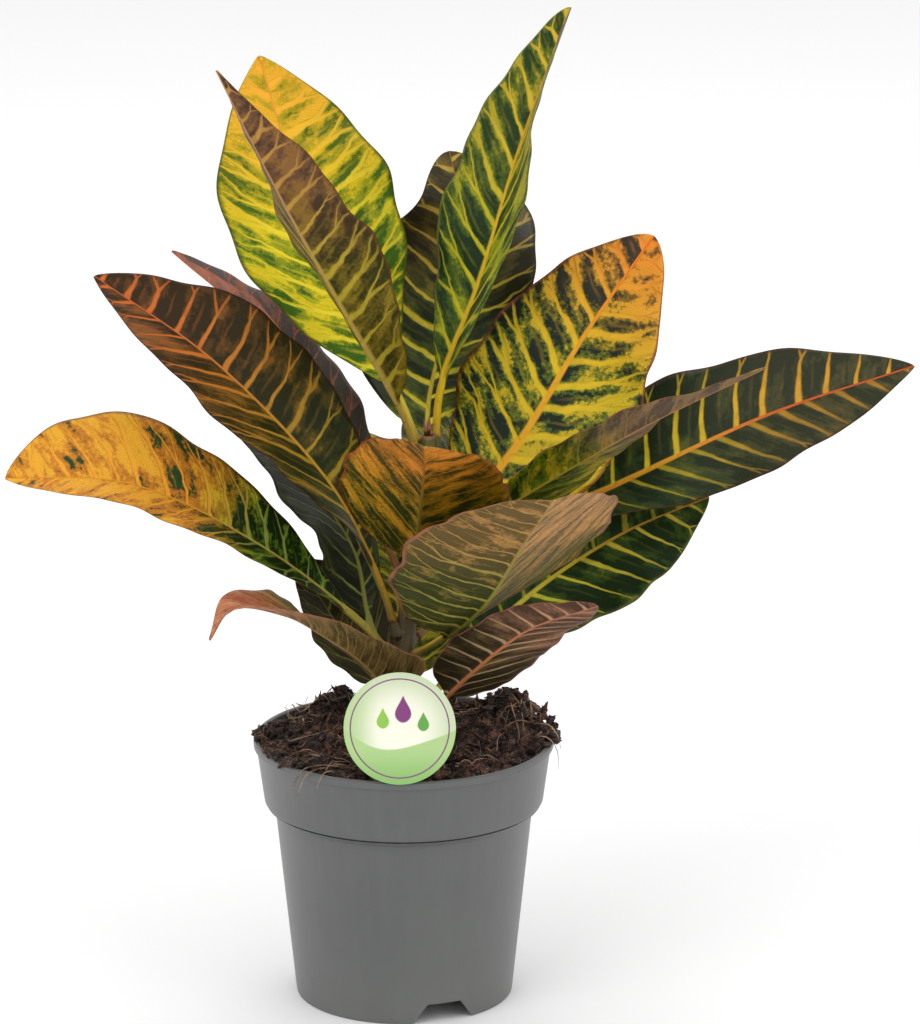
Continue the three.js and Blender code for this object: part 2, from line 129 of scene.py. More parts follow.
class Shade:
    """One material and its node tree, with a Principled shader at its end."""

    # Sockets of the Mix node for colours: factor, first, second and result.
    MIX = (0, 6, 7, 2)

    def __init__(self, name: str) -> None:
        """Makes the material under a name.

        Args:
            name: The material's name.
        """
        self.material = bpy.data.materials.new(name)
        self.material.use_nodes = True
        self.tree = self.material.node_tree
        self.shader = self.tree.nodes["Principled BSDF"]

    def add(self, kind: str, settings: dict[str, Any], inputs: dict[Any, Any], output: Any = 0) -> Val:
        """Adds a node.

        Args:
            kind: The node's type.
            settings: The node's own settings, set before its sockets.
            inputs: Values or links by socket name or number.
            output: Name or number of the output to return.

        Returns:
            The chosen output.
        """
        node = self.tree.nodes.new(kind)
        for key, value in settings.items():
            setattr(node, key, value)
        for key, value in inputs.items():
            self.feed(node.inputs[key], value)
        return Val(self, node.outputs[output])

    def feed(self, socket: Any, value: Any) -> None:
        """Links a socket to a Val, or sets it to a number, colour or vector.

        Args:
            socket: Input socket of a node.
            value: A Val, number, colour or vector.
        """
        if isinstance(value, Val):
            self.tree.links.new(value.socket, socket)
        elif isinstance(value, (tuple, list)) and socket.type == "RGBA":
            socket.default_value = (*value, 1)
        else:
            socket.default_value = value

    def math(self, operation: str, *values: Any) -> Val:
        """Math node of an operation on values or links."""
        return self.add("ShaderNodeMath", {"operation": operation}, dict(enumerate(values)))

    def mix(self, factor: Any, low: Any, high: Any) -> Val:
        """Colour between low and high.

        Args:
            factor: 0 for the low colour, 1 for the high one.
            low: First colour.
            high: Second colour.

        Returns:
            The mixed colour.
        """
        if not isinstance(low, Val) and not isinstance(high, Val) and tuple(low) == tuple(high):
            factor = 0.0
        inputs = dict(zip(self.MIX, (factor, low, high)))
        return self.add("ShaderNodeMix", {"data_type": "RGBA"}, inputs, self.MIX[3])

    def blend(self, factor: Val, low: float, high: float) -> Any:
        """Number between low and high, or the number itself where both are alike."""
        return low if low == high else factor * (high - low) + low

    def vector(self, x: Any, y: Any, z: Any = 0.0) -> Val:
        """Vector of three values."""
        return self.add("ShaderNodeCombineXYZ", {}, {0: x, 1: y, 2: z})

    def parts(self, vector: Val) -> tuple[Val, Val, Val]:
        """The three parts of a vector.

        Args:
            vector: Vector to split.

        Returns:
            Its x, y and z.
        """
        first = self.add("ShaderNodeSeparateXYZ", {}, {0: vector})
        outputs = first.socket.node.outputs
        return first, Val(self, outputs[1]), Val(self, outputs[2])

    def noise(self, vector: Val, scale: float, detail: float = 2.0, rough: float = 0.5) -> Val:
        """Noise around 0.5 at a scale."""
        inputs = {"Vector": vector, "Scale": scale, "Detail": detail, "Roughness": rough}
        return self.add("ShaderNodeTexNoise", {}, inputs)

    def place(self) -> Val:
        """Object coordinates."""
        return self.add("ShaderNodeTexCoord", {}, {}, "Object")

    def finish(
        self, colour: Any, roughness: Any, height: Any = None, depth: float = 0.3, **still: Any
    ) -> None:
        """Feeds the shader.

        Args:
            colour: Base colour.
            roughness: Roughness.
            height: Height for the bump, 0 to 1.
            depth: Depth of the bump in millimetres.
            still: Values that are the same all over, by socket name with _ for a space.
        """
        self.feed(self.shader.inputs["Base Color"], colour)
        self.feed(self.shader.inputs["Roughness"], roughness)
        if height is not None:
            bump = self.add("ShaderNodeBump", {}, {"Height": height, "Distance": depth * MM, "Strength": 1.0})
            self.feed(self.shader.inputs["Normal"], bump)
        for key, value in still.items():
            self.feed(self.shader.inputs[key.replace("_", " ")], value)


def deselect() -> None:
    """Leaves edit mode and deselects every object."""
    if bpy.context.object and bpy.context.object.mode != "OBJECT":
        bpy.ops.object.mode_set(mode="OBJECT")
    bpy.ops.object.select_all(action="DESELECT")


def pick(piece: Piece) -> None:
    """Makes one object the only selected and active one.

    Args:
        piece: Object to select.
    """
    deselect()
    piece.select_set(True)
    bpy.context.view_layer.objects.active = piece


def made(operator: Callable[..., Any], **settings: Any) -> Piece:
    """New object from one of the operators that add one.

    Args:
        operator: Operator of bpy.ops that adds an object.
        settings: What the operator is given.

    Returns:
        The object.
    """
    deselect()
    operator(**settings)
    return bpy.context.object


def joined(parts: Sequence[Piece]) -> Piece:
    """Joins pieces into the first of them.

    Args:
        parts: Pieces to join.

    Returns:
        The joined piece.
    """
    deselect()
    for part in parts:
        part.select_set(True)
    bpy.context.view_layer.objects.active = parts[0]
    bpy.ops.object.join()
    return parts[0]


def edit(piece: Piece, mode: str = "VERT", action: str = "SELECT") -> None:
    """Opens an object in edit mode with all of it selected or deselected.

    Args:
        piece: Object to open.
        mode: What can be selected: VERT, EDGE or FACE.
        action: SELECT or DESELECT.
    """
    pick(piece)
    bpy.ops.object.mode_set(mode="EDIT")
    bpy.ops.mesh.select_mode(type=mode)
    bpy.ops.mesh.select_all(action=action)


def draw_rings(section: Sequence[Pair]) -> None:
    """Draws the selected ring of edges on through a section of radii and heights.

    Args:
        section: Radii and heights; the selected ring stands for the first pair.
    """
    for (r0, z0), (r1, z1) in zip(section, section[1:]):
        bpy.ops.mesh.extrude_edges_move(TRANSFORM_OT_translate={"value": (0, 0, (z1 - z0) * MM)})
        bpy.ops.transform.resize(value=(r1 / r0, r1 / r0, 1), center_override=(0, 0, 0))


def face_out() -> None:
    """Turns every face outward and leaves edit mode."""
    bpy.ops.mesh.select_all(action="SELECT")
    bpy.ops.mesh.normals_make_consistent(inside=False)
    bpy.ops.object.mode_set(mode="OBJECT")


def points(piece: Piece) -> Array:
    """Corner points of a mesh, one row each.

    Args:
        piece: Mesh object.

    Returns:
        The points in metres.
    """
    flat = np.empty(len(piece.data.vertices) * 3)
    piece.data.vertices.foreach_get("co", flat)
    return flat.reshape(-1, 3)


def reshape(piece: Piece, places: Array) -> None:
    """Moves the corner points of a mesh."""
    piece.data.vertices.foreach_set("co", np.ascontiguousarray(places, dtype=np.float32).ravel())
    piece.data.update()


def apply_modifier(piece: Piece, kind: str, **settings: Any) -> None:
    """Adds a modifier with its settings and applies it.

    Args:
        piece: Object to change.
        kind: Type of modifier.
        settings: Its settings.
    """
    pick(piece)
    modifier = piece.modifiers.new(kind.title(), kind)
    for key, value in settings.items():
        setattr(modifier, key, value)
    bpy.ops.object.modifier_apply(modifier=modifier.name)


def dress(piece: Piece, name: str, material: bpy.types.Material, node: str = "") -> None:
    """Names a finished piece, gives it its material and body, and reports it.

    Args:
        piece: The piece, with its place still on the object or already in the mesh.
        name: Its name.
        material: Its only material.
        node: The solid that it replaces, or none.
    """
    pick(piece)
    bpy.ops.object.transform_apply(location=True, rotation=True, scale=True)
    piece.name = name
    piece.data.name = name
    piece.data.materials.clear()
    piece.data.materials.append(material)
    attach(piece, "root")
    if node:
        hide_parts(node)
    log.info("%s: %d faces, %s", name, len(piece.data.polygons), material.name)


def tube(sides: int, steps: int, place: Callable[[Array, Array], Array]) -> Piece:
    """Closed tube from a grid that is wrapped round.

    Args:
        sides: Cells round the tube.
        steps: Cells along it.
        place: Gives the points for shares round (0 to 1) and along (0 to 1).

    Returns:
        The tube, with the shares in its UV map.
    """
    grid = bpy.ops.mesh.primitive_grid_add
    piece = made(grid, x_subdivisions=sides, y_subdivisions=steps, size=1, calc_uvs=True)
    flat = points(piece)
    reshape(piece, place(flat[:, 0] + 0.5, flat[:, 1] + 0.5))
    edit(piece)
    bpy.ops.mesh.remove_doubles(threshold=1e-6)
    bpy.ops.mesh.select_all(action="DESELECT")
    bpy.ops.mesh.select_non_manifold()
    bpy.ops.mesh.fill()
    face_out()
    bpy.ops.object.shade_smooth()
    return piece


class Curve:
    """Smooth curve through points, measured by its length."""

    def __init__(self, route: Sequence[Sequence[float]], fine: int = 160) -> None:
        """Lays the curve through the points of a route, with fine steps between two of them.

        Args:
            route: Points in millimetres.
            fine: Steps between two of them.
        """
        given = np.array(route, float)
        given = np.vstack([2 * given[0] - given[1], given, 2 * given[-1] - given[-2]])
        rows = []
        for p0, p1, p2, p3 in zip(given, given[1:], given[2:], given[3:]):
            d0, d1, d2 = (math.sqrt(np.linalg.norm(b - a)) for a, b in ((p0, p1), (p1, p2), (p2, p3)))
            m1 = ((p1 - p0) / d0 - (p2 - p0) / (d0 + d1) + (p2 - p1) / d1) * d1
            m2 = ((p2 - p1) / d1 - (p3 - p1) / (d1 + d2) + (p3 - p2) / d2) * d1
            t = np.linspace(0, 1, fine, endpoint=False)[:, None]
            bend = -3 * p1 + 3 * p2 - 2 * m1 - m2
            rows.append(p1 + m1 * t + bend * t**2 + (2 * p1 - 2 * p2 + m1 + m2) * t**3)
        self.points = np.vstack([*rows, given[-2:-1]])
        gaps = np.linalg.norm(np.diff(self.points, axis=0), axis=1)
        self.reached = np.concatenate([[0], np.cumsum(gaps)])
        self.length = float(self.reached[-1])
        self.slopes = np.gradient(self.points, axis=0)
        self.slopes /= np.linalg.norm(self.slopes, axis=1)[:, None]

    def read(self, table: Array, distance: Array) -> Array:
        """Rows of a table at distances along the curve."""
        return np.stack([np.interp(distance, self.reached, table[:, k]) for k in range(3)], axis=-1)

    def at(self, distance: Array) -> tuple[Array, Array]:
        """Points and unit directions at distances along the curve."""
        along = self.read(self.slopes, distance)
        return self.read(self.points, distance), along / np.linalg.norm(along, axis=-1)[..., None]


@dataclass(frozen=True)
class GreyPlastic:
    """Satin grey moulded plastic with faint flow marks, scuffs and dust at the foot."""

    body: tuple[Colour, Colour] = ((87, 89, 88), (94, 96, 94))
    flow_mark: Colour = (104, 106, 103)
    worn: Colour = (122, 124, 120)
    dust_height: float = 0.03
    rough: float = 0.36
    grain: float = 0.05

    def shade(self) -> Shade:
        """Makes the material.

        Returns:
            Its shade.
        """
        shade = Shade("grey_plastic")
        place = shade.place()
        x, y, z = shade.parts(place)
        cloud = shade.noise(place, 14, 3)
        grain = shade.noise(place, 1400, 2)
        flow = shade.noise(shade.vector(x, y, z * 0.08), 260, 2)
        scuff = shade.noise(shade.vector(x, y, z * 6.0), 90, 5, 0.7).step(0.62, 0.8)
        dust = (1 - z.step(0.0, self.dust_height)) * cloud
        tone = shade.mix(cloud.step(0.3, 0.7), *(srgb(*colour) for colour in self.body))
        tone = shade.mix(flow.step(0.35, 0.75) * 0.16, tone, srgb(*self.flow_mark))
        tone = shade.mix(scuff * 0.2 + dust * 0.25, tone, srgb(*self.worn))
        rough = grain * 0.08 + scuff * 0.15 + self.rough
        shade.finish(tone, rough, grain * 0.5 + flow * 0.12 + scuff * 0.3, self.grain)
        return shade


@dataclass
class Pot:
    """Grey nursery pot with a deep collar, raised foot ring, notches and drain holes."""

    height: float = 106
    rim: float = 60
    collar: float = 55.9
    collar_depth: float = 25.4
    body: float = 51.4
    foot: float = 43.6
    wall: float = 1.3
    groove: float = 1.9
    side_groove: float = 0.9
    pad: float = 24
    ring: float = 8.6
    sides: int = 160
    notches: int = 3
    first_notch: float = -68.2
    notch: tuple[float, float, float] = (25, 14, 8.3)
    holes: int = 9
    hole: float = 3.5
    hole_circle: float = 32.5

    def profile(self) -> list[Pair]:
        """Section from the middle of the underside, up the outside and down the inside.

        Returns:
            Radii and heights.
        """
        pad, foot, body, collar, rim = self.pad, self.foot, self.body, self.collar, self.rim
        wall, ring, top = self.wall, self.ring, self.height
        low = top - self.collar_depth
        deep = collar - self.groove
        return [
            (pad, 0), (pad + 2, ring), (foot - 3.5, ring), (foot - 2.5, 0), (foot - 0.8, 0),
            (foot - 0.2, 0.3), (foot, 1.2), (foot + 0.15, 2.4),
            (body, low - 4.2), (body + 0.25, low - 3.7), (body + 0.9, low - 3.1), (body + 2.3, low - 2.2),
            (collar - 1.1, low - 1.4), (collar - 0.9, low - 1.1), (deep, low - 1.0), (deep, low - 0.4),
            (collar - 0.5, low - 0.3), (collar - 0.15, low + 0.3), (collar, low + 1.2),
            (rim - 1.3, top - 3.7), (rim - 1.15, top - 3.3), (rim - 0.4, top - 3.1), (rim - 0.1, top - 2.7),
            (rim, top - 1.4), (rim - 0.15, top - 0.5), (rim - 0.7, top), (rim - 1.7, top),
            (rim - 2.3, top - 0.4), (rim - 2.6, top - 1.2),
            (collar + 1.5 - wall, top - 13), (collar - wall, low + 1), (body + 0.8 - wall, low - 3),
            (body - wall - 0.6, low - 8), (foot - wall + 0.5, ring + wall + 1.5),
            (foot - wall - 1, ring + wall), (pad + 3 - wall, ring + wall), (pad - wall, wall),
        ]

    def shell(self) -> Piece:
        """Pot drawn up from a disc ring by ring, as a closed wall.

        Returns:
            The pot before its foot is cut.
        """
        section = self.profile()
        circle = bpy.ops.mesh.primitive_circle_add
        piece = made(circle, vertices=self.sides, radius=section[0][0] * MM, fill_type="NGON")
        edit(piece, "EDGE")
        bpy.ops.mesh.flip_normals()
        draw_rings(section[:2])
        bpy.ops.mesh.select_mode(type="EDGE")
        draw_rings(section[1:])
        bpy.ops.mesh.edge_face_add()
        face_out()
        self.fade_groove(piece)
        return piece

    def fade_groove(self, piece: Piece) -> None:
        """Fills the groove under the collar toward the sides, where the real one closes.

        Args:
            piece: The pot.
        """
        flat = points(piece)
        middle, half_high, play = self.height - self.collar_depth - 0.7, 0.35, 0.3
        reach = np.hypot(flat[:, 0], flat[:, 1])
        level = abs(flat[:, 2] / MM - middle) < half_high
        inside = level & (reach > (self.collar - self.groove - play) * MM)
        front = smooth(abs(flat[:, 1]) / np.maximum(reach, MM), 0.45, 0.8)
        grown = np.where(inside, reach + (self.groove - self.side_groove) * (1 - front) * MM, reach)
        flat[:, :2] *= (grown / np.maximum(reach, 1e-9))[:, None]
        reshape(piece, flat)

    def cut(self, piece: Piece, tool: Piece) -> None:
        """Cuts a tool out of the pot and removes the tool."""
        apply_modifier(piece, "BOOLEAN", operation="DIFFERENCE", object=tool, solver="EXACT")
        bpy.data.objects.remove(tool)

    def notch_tool(self, angle: float) -> Piece:
        """Block with sloped sides that opens the foot at an angle.

        Args:
            angle: Direction of the notch in degrees.

        Returns:
            The block.
        """
        low, high, height = self.notch
        tool = made(bpy.ops.mesh.primitive_cube_add, size=1, location=(0, 0, 0))
        flat = points(tool)
        width = np.where(flat[:, 2] > 0, high, low + 2) * MM
        rise = np.where(flat[:, 2] > 0, height, -1) * MM
        reach = (self.foot - 0.5 + flat[:, 0] * 10) * MM
        turn = math.radians(angle)
        across = flat[:, 1] * width
        x = reach * math.cos(turn) - across * math.sin(turn)
        y = reach * math.sin(turn) + across * math.cos(turn)
        reshape(tool, np.stack([x, y, rise], axis=1))
        return tool

    def hole_tool(self, angle: float) -> Piece:
        """Cylinder that opens one drain hole.

        Args:
            angle: Direction of the hole in degrees.

        Returns:
            The cylinder.
        """
        turn, reach = math.radians(angle), self.hole_circle * MM
        place = (reach * math.cos(turn), reach * math.sin(turn), self.ring * MM)
        cylinder = bpy.ops.mesh.primitive_cylinder_add
        return made(cylinder, vertices=24, radius=self.hole * MM, depth=8 * MM, location=place)

    def build(self) -> None:
        """Makes the pot."""
        piece = self.shell()
        for i in range(self.notches):
            self.cut(piece, self.notch_tool(self.first_notch + i * 360 / self.notches))
        for i in range(self.holes):
            self.cut(piece, self.hole_tool(self.first_notch + (i + 0.5) * 360 / self.holes))
        pick(piece)
        bpy.ops.object.shade_smooth_by_angle(angle=math.radians(32))
        dress(piece, "pot_shell", GreyPlastic().shade().material, "pot")


@dataclass(frozen=True)
class Peat:
    """Dark red-brown peat, with patches of painted shadow and painted highlights on fine specks."""

    wet: Colour = (15, 9, 6)
    moist: Colour = (104, 68, 50)
    shadow: Colour = (17, 11, 8)
    # Painted highlight: pale colour of fine specks where crumbs would catch the light.
    painted_highlight: Colour = (188, 152, 124)
    rough: float = 0.72
    grain: float = 0.5

    def shade(self) -> Shade:
        """Makes the material.

        Returns:
            Its shade.
        """
        shade = Shade("moist_peat")
        place = shade.place()
        patch = shade.noise(place, 240, 4, 0.65)
        fine = shade.noise(place, 1500, 4, 0.7)
        clump = shade.noise(place, 60, 2)
        tone = shade.mix(patch.step(0.42, 0.64), srgb(*self.wet), srgb(*self.moist))
        tone = shade.mix(clump.step(0.62, 0.42) * 0.7, tone, srgb(*self.shadow))
        # Painted highlight: pale specks where crumbs would catch the light, more of them on the lighter
        # patches.
        tone = shade.mix(fine.step(0.55, 0.7) * patch * 1.5, tone, srgb(*self.painted_highlight))
        shade.finish(tone, fine * 0.2 + self.rough, fine + patch * 0.5, self.grain)
        return shade


@dataclass(frozen=True)
class Coir:
    """Coir fibre, tan to dark brown from strand to strand."""

    dark: Colour = (84, 54, 40)
    tan: Colour = (184, 148, 118)
    rough: float = 0.7
    grain: float = 0.1

    def shade(self) -> Shade:
        """Makes the material.

        Returns:
            Its shade.
        """
        shade = Shade("coir_fibre")
        place = shade.place()
        tone = shade.mix(shade.noise(place, 90, 2).step(0.4, 0.62), srgb(*self.dark), srgb(*self.tan))
        shade.finish(tone, self.rough, shade.noise(place, 900, 2), self.grain)
        return shade


# Heaps of the soil: place of the top, rise and spread.
HEAPS = ((42, 16, 17, 15), (-25, 34, 11, 11), (-47, 4, 4, 12), (28, -36, 3, 12), (-34, -34, 2.5, 12))


def hills(x: Array, y: Array) -> Array:
    """Height of the soil's surface: low waves and heaps, nearly level beside the wall.

    Args:
        x: Places to the right.
        y: Places to the back.

    Returns:
        Heights at those places.
    """
    middle_level, wall_level, pull = 103, 104.5, 0.35
    level = middle_level + 1.8 * (np.sin(x * 0.17 + 1) * np.cos(y * 0.21) + 0.6 * np.sin(x * 0.41 + y * 0.33))
    for heap_x, heap_y, rise, spread in HEAPS:
        level = level + rise * np.exp(-((x - heap_x) ** 2 + (y - heap_y) ** 2) / spread**2)
    return level + (wall_level - level) * (smooth(np.hypot(x, y), 48, 57) * pull)


def ground_at(x: float, y: float) -> float:
    """Height of the soil's surface at one place."""
    return float(hills(np.array(x), np.array(y)))


class Bit(Enum):
    """Kinds of loose bits in the soil: how common one is, its proportions, least and greatest size."""

    CRUMB = (60, (1, 0.8, 0.7), (0.6, 1.9))
    CHUNK = (22, (1.2, 0.8, 0.6), (1.8, 3.6))
    FLAKE = (12, (1.3, 0.6, 0.18), (1.6, 4.2))
    GRIT = (6, (1, 1, 1), (0.4, 0.8))

    def __init__(self, weight: int, form: tuple[float, float, float], sizes: Pair) -> None:
        """Names the three values.

        Args:
            weight: How common the bit is.
            form: Its proportions.
            sizes: Least and greatest size.
        """
        self.weight = weight
        self.form = form
        self.sizes = sizes


# Bits over the rim: upper limit of the choice, angles from and to in degrees, radii from and to.
SPILLS = ((0.035, -14, 38, 56, 62.5), (0.075, 168, 226, 55, 59.8))
# Bits on the two great heaps: upper limit of the choice, place of the top, spread, greatest radius.
PILES = ((0.2, 41, 16, 9, 56), (0.3, -31, 33, 8, 55))
# Fibres that hang over the rim: route and thickness.
HANGING = (
    (((50, -10, 109), (57, -14, 110), (60.8, -17, 106), (61.6, -18, 98)), 0.3),
    (((52, -2, 112), (58, -4, 112), (61.4, -6, 108), (62.6, -7, 103)), 0.35),
    (((-30, -44, 107), (-34, -49, 108), (-37.6, -49, 105.6), (-41, -47.8, 97)), 0.42),
    (((-33, -42, 107), (-37, -46.6, 108.2), (-40, -46.6, 106), (-42.6, -45.6, 100)), 0.34),
    (((-26, -48, 107), (-30, -51.6, 107.8), (-32, -52.4, 105), (-33.4, -51.6, 101)), 0.26),
)


@dataclass
class Soil:
    """Moist peat and coir: a bed that fills the pot, loose bits and fibres."""

    top: float = 56.9
    wall: tuple[Pair, ...] = ((55.3, 92), (53.9, 82.5), (49.9, 77.5), (49.0, 72), (42.6, 12), (41.2, 10.5))
    rim_level: float = 106.5
    cells: int = 150
    bits: int = 1500
    fibres: int = 170
    seed: int = 11

    def rough_top(self, x: Array, y: Array) -> Array:
        """Surface with fine clods."""
        clods = [noise.fractal((a * 0.16, b * 0.16, 2.0), 0.7, 2.2, 5) for a, b in zip(x, y)]
        return hills(x, y) + 1.9 * np.array(clods) - 0.6

    def bed(self) -> Piece:
        """Body of soil: a round top and a wall drawn down to the pot's floor.

        Returns:
            The bed.
        """
        grid = bpy.ops.mesh.primitive_grid_add
        piece = made(grid, x_subdivisions=self.cells, y_subdivisions=self.cells, size=2)
        flat = points(piece)
        x, y = flat[:, 0], flat[:, 1]
        disc_x = x * np.sqrt(1 - y * y / 2) * self.top
        disc_y = y * np.sqrt(1 - x * x / 2) * self.top
        reshape(piece, np.stack([disc_x, disc_y, self.rough_top(disc_x, disc_y)], axis=1) * MM)
        edit(piece, "EDGE", "DESELECT")
        bpy.ops.mesh.select_non_manifold()
        draw_rings([(self.top, 100.0), *self.wall])
        bpy.ops.mesh.edge_face_add()
        face_out()
        bpy.ops.object.shade_smooth_by_angle(angle=math.radians(60))
        return piece

    def model(self, kind: Bit, seed: int) -> tuple[Array, Array]:
        """One uneven bit of unit size.

        Args:
            kind: What the bit is.
            seed: Shift of the unevenness.

        Returns:
            Its points, and its triangles as rows of three point numbers.
        """
        piece = made(bpy.ops.mesh.primitive_ico_sphere_add, subdivisions=2, radius=1)
        flat = points(piece)
        bulge = np.array([noise.fractal(Vector(p) * 1.3 + Vector((seed * 7, 0, 0)), 0.8, 2, 3) for p in flat])
        flat *= (0.85 + 0.5 * bulge)[:, None]
        flat *= kind.form
        faces = np.array([f.vertices[:] for f in piece.data.polygons])
        bpy.data.objects.remove(piece)
        return flat, faces

    def resting(self, angle: float, radius: float) -> tuple[float, float, float]:
        """Place on the soil, or on the rim, at an angle and a radius.

        Args:
            angle: Direction in radians.
            radius: Distance from the middle.

        Returns:
            The place.
        """
        x, y = radius * math.cos(angle), radius * math.sin(angle)
        ground = ground_at(x, y)
        return x, y, max(ground, self.rim_level + 0.1) if radius > 56 else ground

    def scatter(self, rng: random.Random) -> tuple[float, float, float]:
        """A place for a bit, more of them on the heaps, and some over the rim.

        Args:
            rng: Source of random numbers.

        Returns:
            The place.
        """
        choice = rng.random()
        for limit, first, last, near, far in SPILLS:
            if choice < limit:
                return self.resting(math.radians(rng.uniform(first, last)), rng.uniform(near, far))
        for limit, pile_x, pile_y, spread, far in PILES:
            if choice < limit:
                x, y = rng.gauss(pile_x, spread), rng.gauss(pile_y, spread)
                return self.resting(math.atan2(y, x), min(math.hypot(x, y), far))
        return self.resting(rng.uniform(0, TURN), 56 * math.sqrt(rng.random()))

    def loose(self) -> Piece:
        """All loose bits as one mesh, each a turned and scaled copy of a model.

        Returns:
            The bits.
        """
        rng = random.Random(self.seed)
        models = {kind: [self.model(kind, n) for n in range(3)] for kind in Bit}
        all_points, all_faces, start = [], [], 0
        for _ in range(self.bits):
            kind = rng.choices(list(Bit), [kind.weight for kind in Bit])[0]
            low, high = kind.sizes
            size = low + (high - low) * rng.random() ** 1.8
            flat, faces = models[kind][rng.randrange(3)]
            turn = Euler((rng.gauss(0, 0.6), rng.gauss(0, 0.6), rng.uniform(0, 6.3))).to_matrix()
            x, y, z = self.scatter(rng)
            behind_label = abs(x) < 15 and y < -49
            if behind_label:
                continue
            z += size * rng.uniform(-0.1, 0.55)
            all_points.append(flat * size @ np.array(turn).T + (x, y, z))
            all_faces.append(faces + start)
            start += len(flat)
        mesh = bpy.data.meshes.new("bits")
        mesh.from_pydata((np.vstack(all_points) * MM).tolist(), [], np.vstack(all_faces).tolist())
        piece = bpy.data.objects.new("bits", mesh)
        bpy.context.scene.collection.objects.link(piece)
        pick(piece)
        bpy.ops.object.shade_smooth_by_angle(angle=math.radians(40))
        return piece

    def strand(self, route: Sequence[Sequence[float]], thick: float) -> Piece:
        """Thin fibre that tapers along a route.

        Args:
            route: Points along its middle.
            thick: Radius at its start.

        Returns:
            The fibre.
        """
        curve = Curve([Vector(point) for point in route], 12)

        def place(around: Array, along: Array) -> Array:
            """Points of the fibre.

            Args:
                around: Share round it, 0 to 1.
                along: Share along it, 0 to 1.

            Returns:
                The points in metres.
            """
            middle, way = curve.at(along * curve.length)
            side = np.cross(way, (0.13, 0.2, 1))
            side /= np.linalg.norm(side, axis=1)[:, None]
            other = np.cross(side, way)
            radius = (thick * (1 - 0.75 * along))[:, None]
            turn = (TURN * around)[:, None]
            return (middle + radius * (side * np.cos(turn) + other * np.sin(turn))) * MM

        return tube(4, 9, place)

    def lying(self, rng: random.Random) -> list[tuple[float, float, float]]:
        """Route of a fibre that lies on the soil.

        Args:
            rng: Source of random numbers.

        Returns:
            Points of the route.
        """
        x, y, _ = self.scatter(rng)
        heading, length = rng.uniform(0, 6.3), rng.uniform(5, 20)
        route = []
        for k in range(4):
            step = length * (k / 3 - 0.5)
            px = x + step * math.cos(heading) + rng.gauss(0, length * 0.07)
            py = y + step * math.sin(heading) + rng.gauss(0, length * 0.07)
            reach = math.hypot(px, py)
            if reach > 60:
                px, py = px * 60 / reach, py * 60 / reach
            ground = max(ground_at(px, py), self.rim_level if reach > 55 else 0)
            route.append((px, py, ground + rng.uniform(0.6, 3.0)))
        return route

    def litter(self) -> Piece:
        """All fibres as one mesh.

        Returns:
            The fibres.
        """
        rng = random.Random(self.seed + 1)
        lying = [(self.lying(rng), rng.uniform(0.12, 0.34)) for _ in range(self.fibres)]
        return joined([self.strand(route, thick) for route, thick in (*lying, *HANGING)])

    def build(self) -> None:
        """Makes the bed, the bits and the fibres."""
        peat = Peat().shade().material
        dress(self.bed(), "soil_bed", peat, "soil")
        dress(self.loose(), "soil_bits", peat)
        dress(self.litter(), "soil_fibres", Coir().shade().material)


PLUM = (124, 52, 116)
# Drops on the label, in shares of its radius: place, size and colour.
DROPS = ((-0.3, 0.18, 0.13, (136, 190, 72)), (0.06, 0.34, 0.17, PLUM), (0.42, 0.12, 0.12, (94, 158, 66)))


@dataclass(frozen=True)
class Print:
    """Printed plastic: cream and green ground, a hill, a plum ring line and three drops."""

    middle: Colour = (236, 236, 218)
    edge: Colour = (196, 210, 172)
    fresh: Colour = (160, 196, 116)
    hill: tuple[Colour, Colour] = ((132, 180, 100), (168, 200, 132))
    plain: Colour = (238, 240, 230)
    ring: float = 0.88
    rough: float = 0.27

    def shade(self, centre: Sequence[float], lean: float, size: float) -> Shade:
        """Makes the material.

        Args:
            centre: Middle of the tag in millimetres.
            lean: How far it leans back, in degrees.
            size: Its radius in millimetres.

        Returns:
            Its shade.
        """
        shade = Shade("printed_plastic")
        place = shade.place()
        x, y, z = shade.parts(place)
        cx, cy, cz = (c * MM for c in centre)
        lean = math.radians(lean)
        across = (x - cx) * (1 / (size * MM))
        up = ((z - cz) * math.cos(lean) + (y - cy) * math.sin(lean)) * (1 / (size * MM))
        radius = (across * across + up * up) ** 0.5
        ground = shade.mix(radius.step(0.35, 1.0), srgb(*self.middle), srgb(*self.edge))
        ground = shade.mix((0.2 - across).step(0.5, 1.1) * 0.6, ground, srgb(*self.fresh))
        wave = shade.math("SINE", across * 3.4) * 0.05
        hill = (across * across * 0.35 - 0.36 + wave - up).step(-0.012, 0.012)
        grass = shade.mix(up.step(-1.0, -0.3), *(srgb(*colour) for colour in self.hill))
        ground = shade.mix(hill, ground, grass)
        ring = abs(radius - self.ring).step(0.018, 0.006)
        ground = shade.mix(ring, ground, srgb(*PLUM))
        for drop_x, drop_y, reach, tint in DROPS:
            ax = across - drop_x
            ay = up - drop_y
            taper = 1 - ay.step(-reach, reach * 1.9) * 0.9
            drop = ((ax / taper) * (ax / taper) + ay * ay * 0.5) ** 0.5
            ground = shade.mix(drop.step(reach * 1.05, reach * 0.92), ground, srgb(*tint))
        tone = shade.mix(radius > 1.02, ground, srgb(*self.plain))
        shade.finish(tone, shade.noise(place, 400, 2) * 0.06 + self.rough)
        return shade


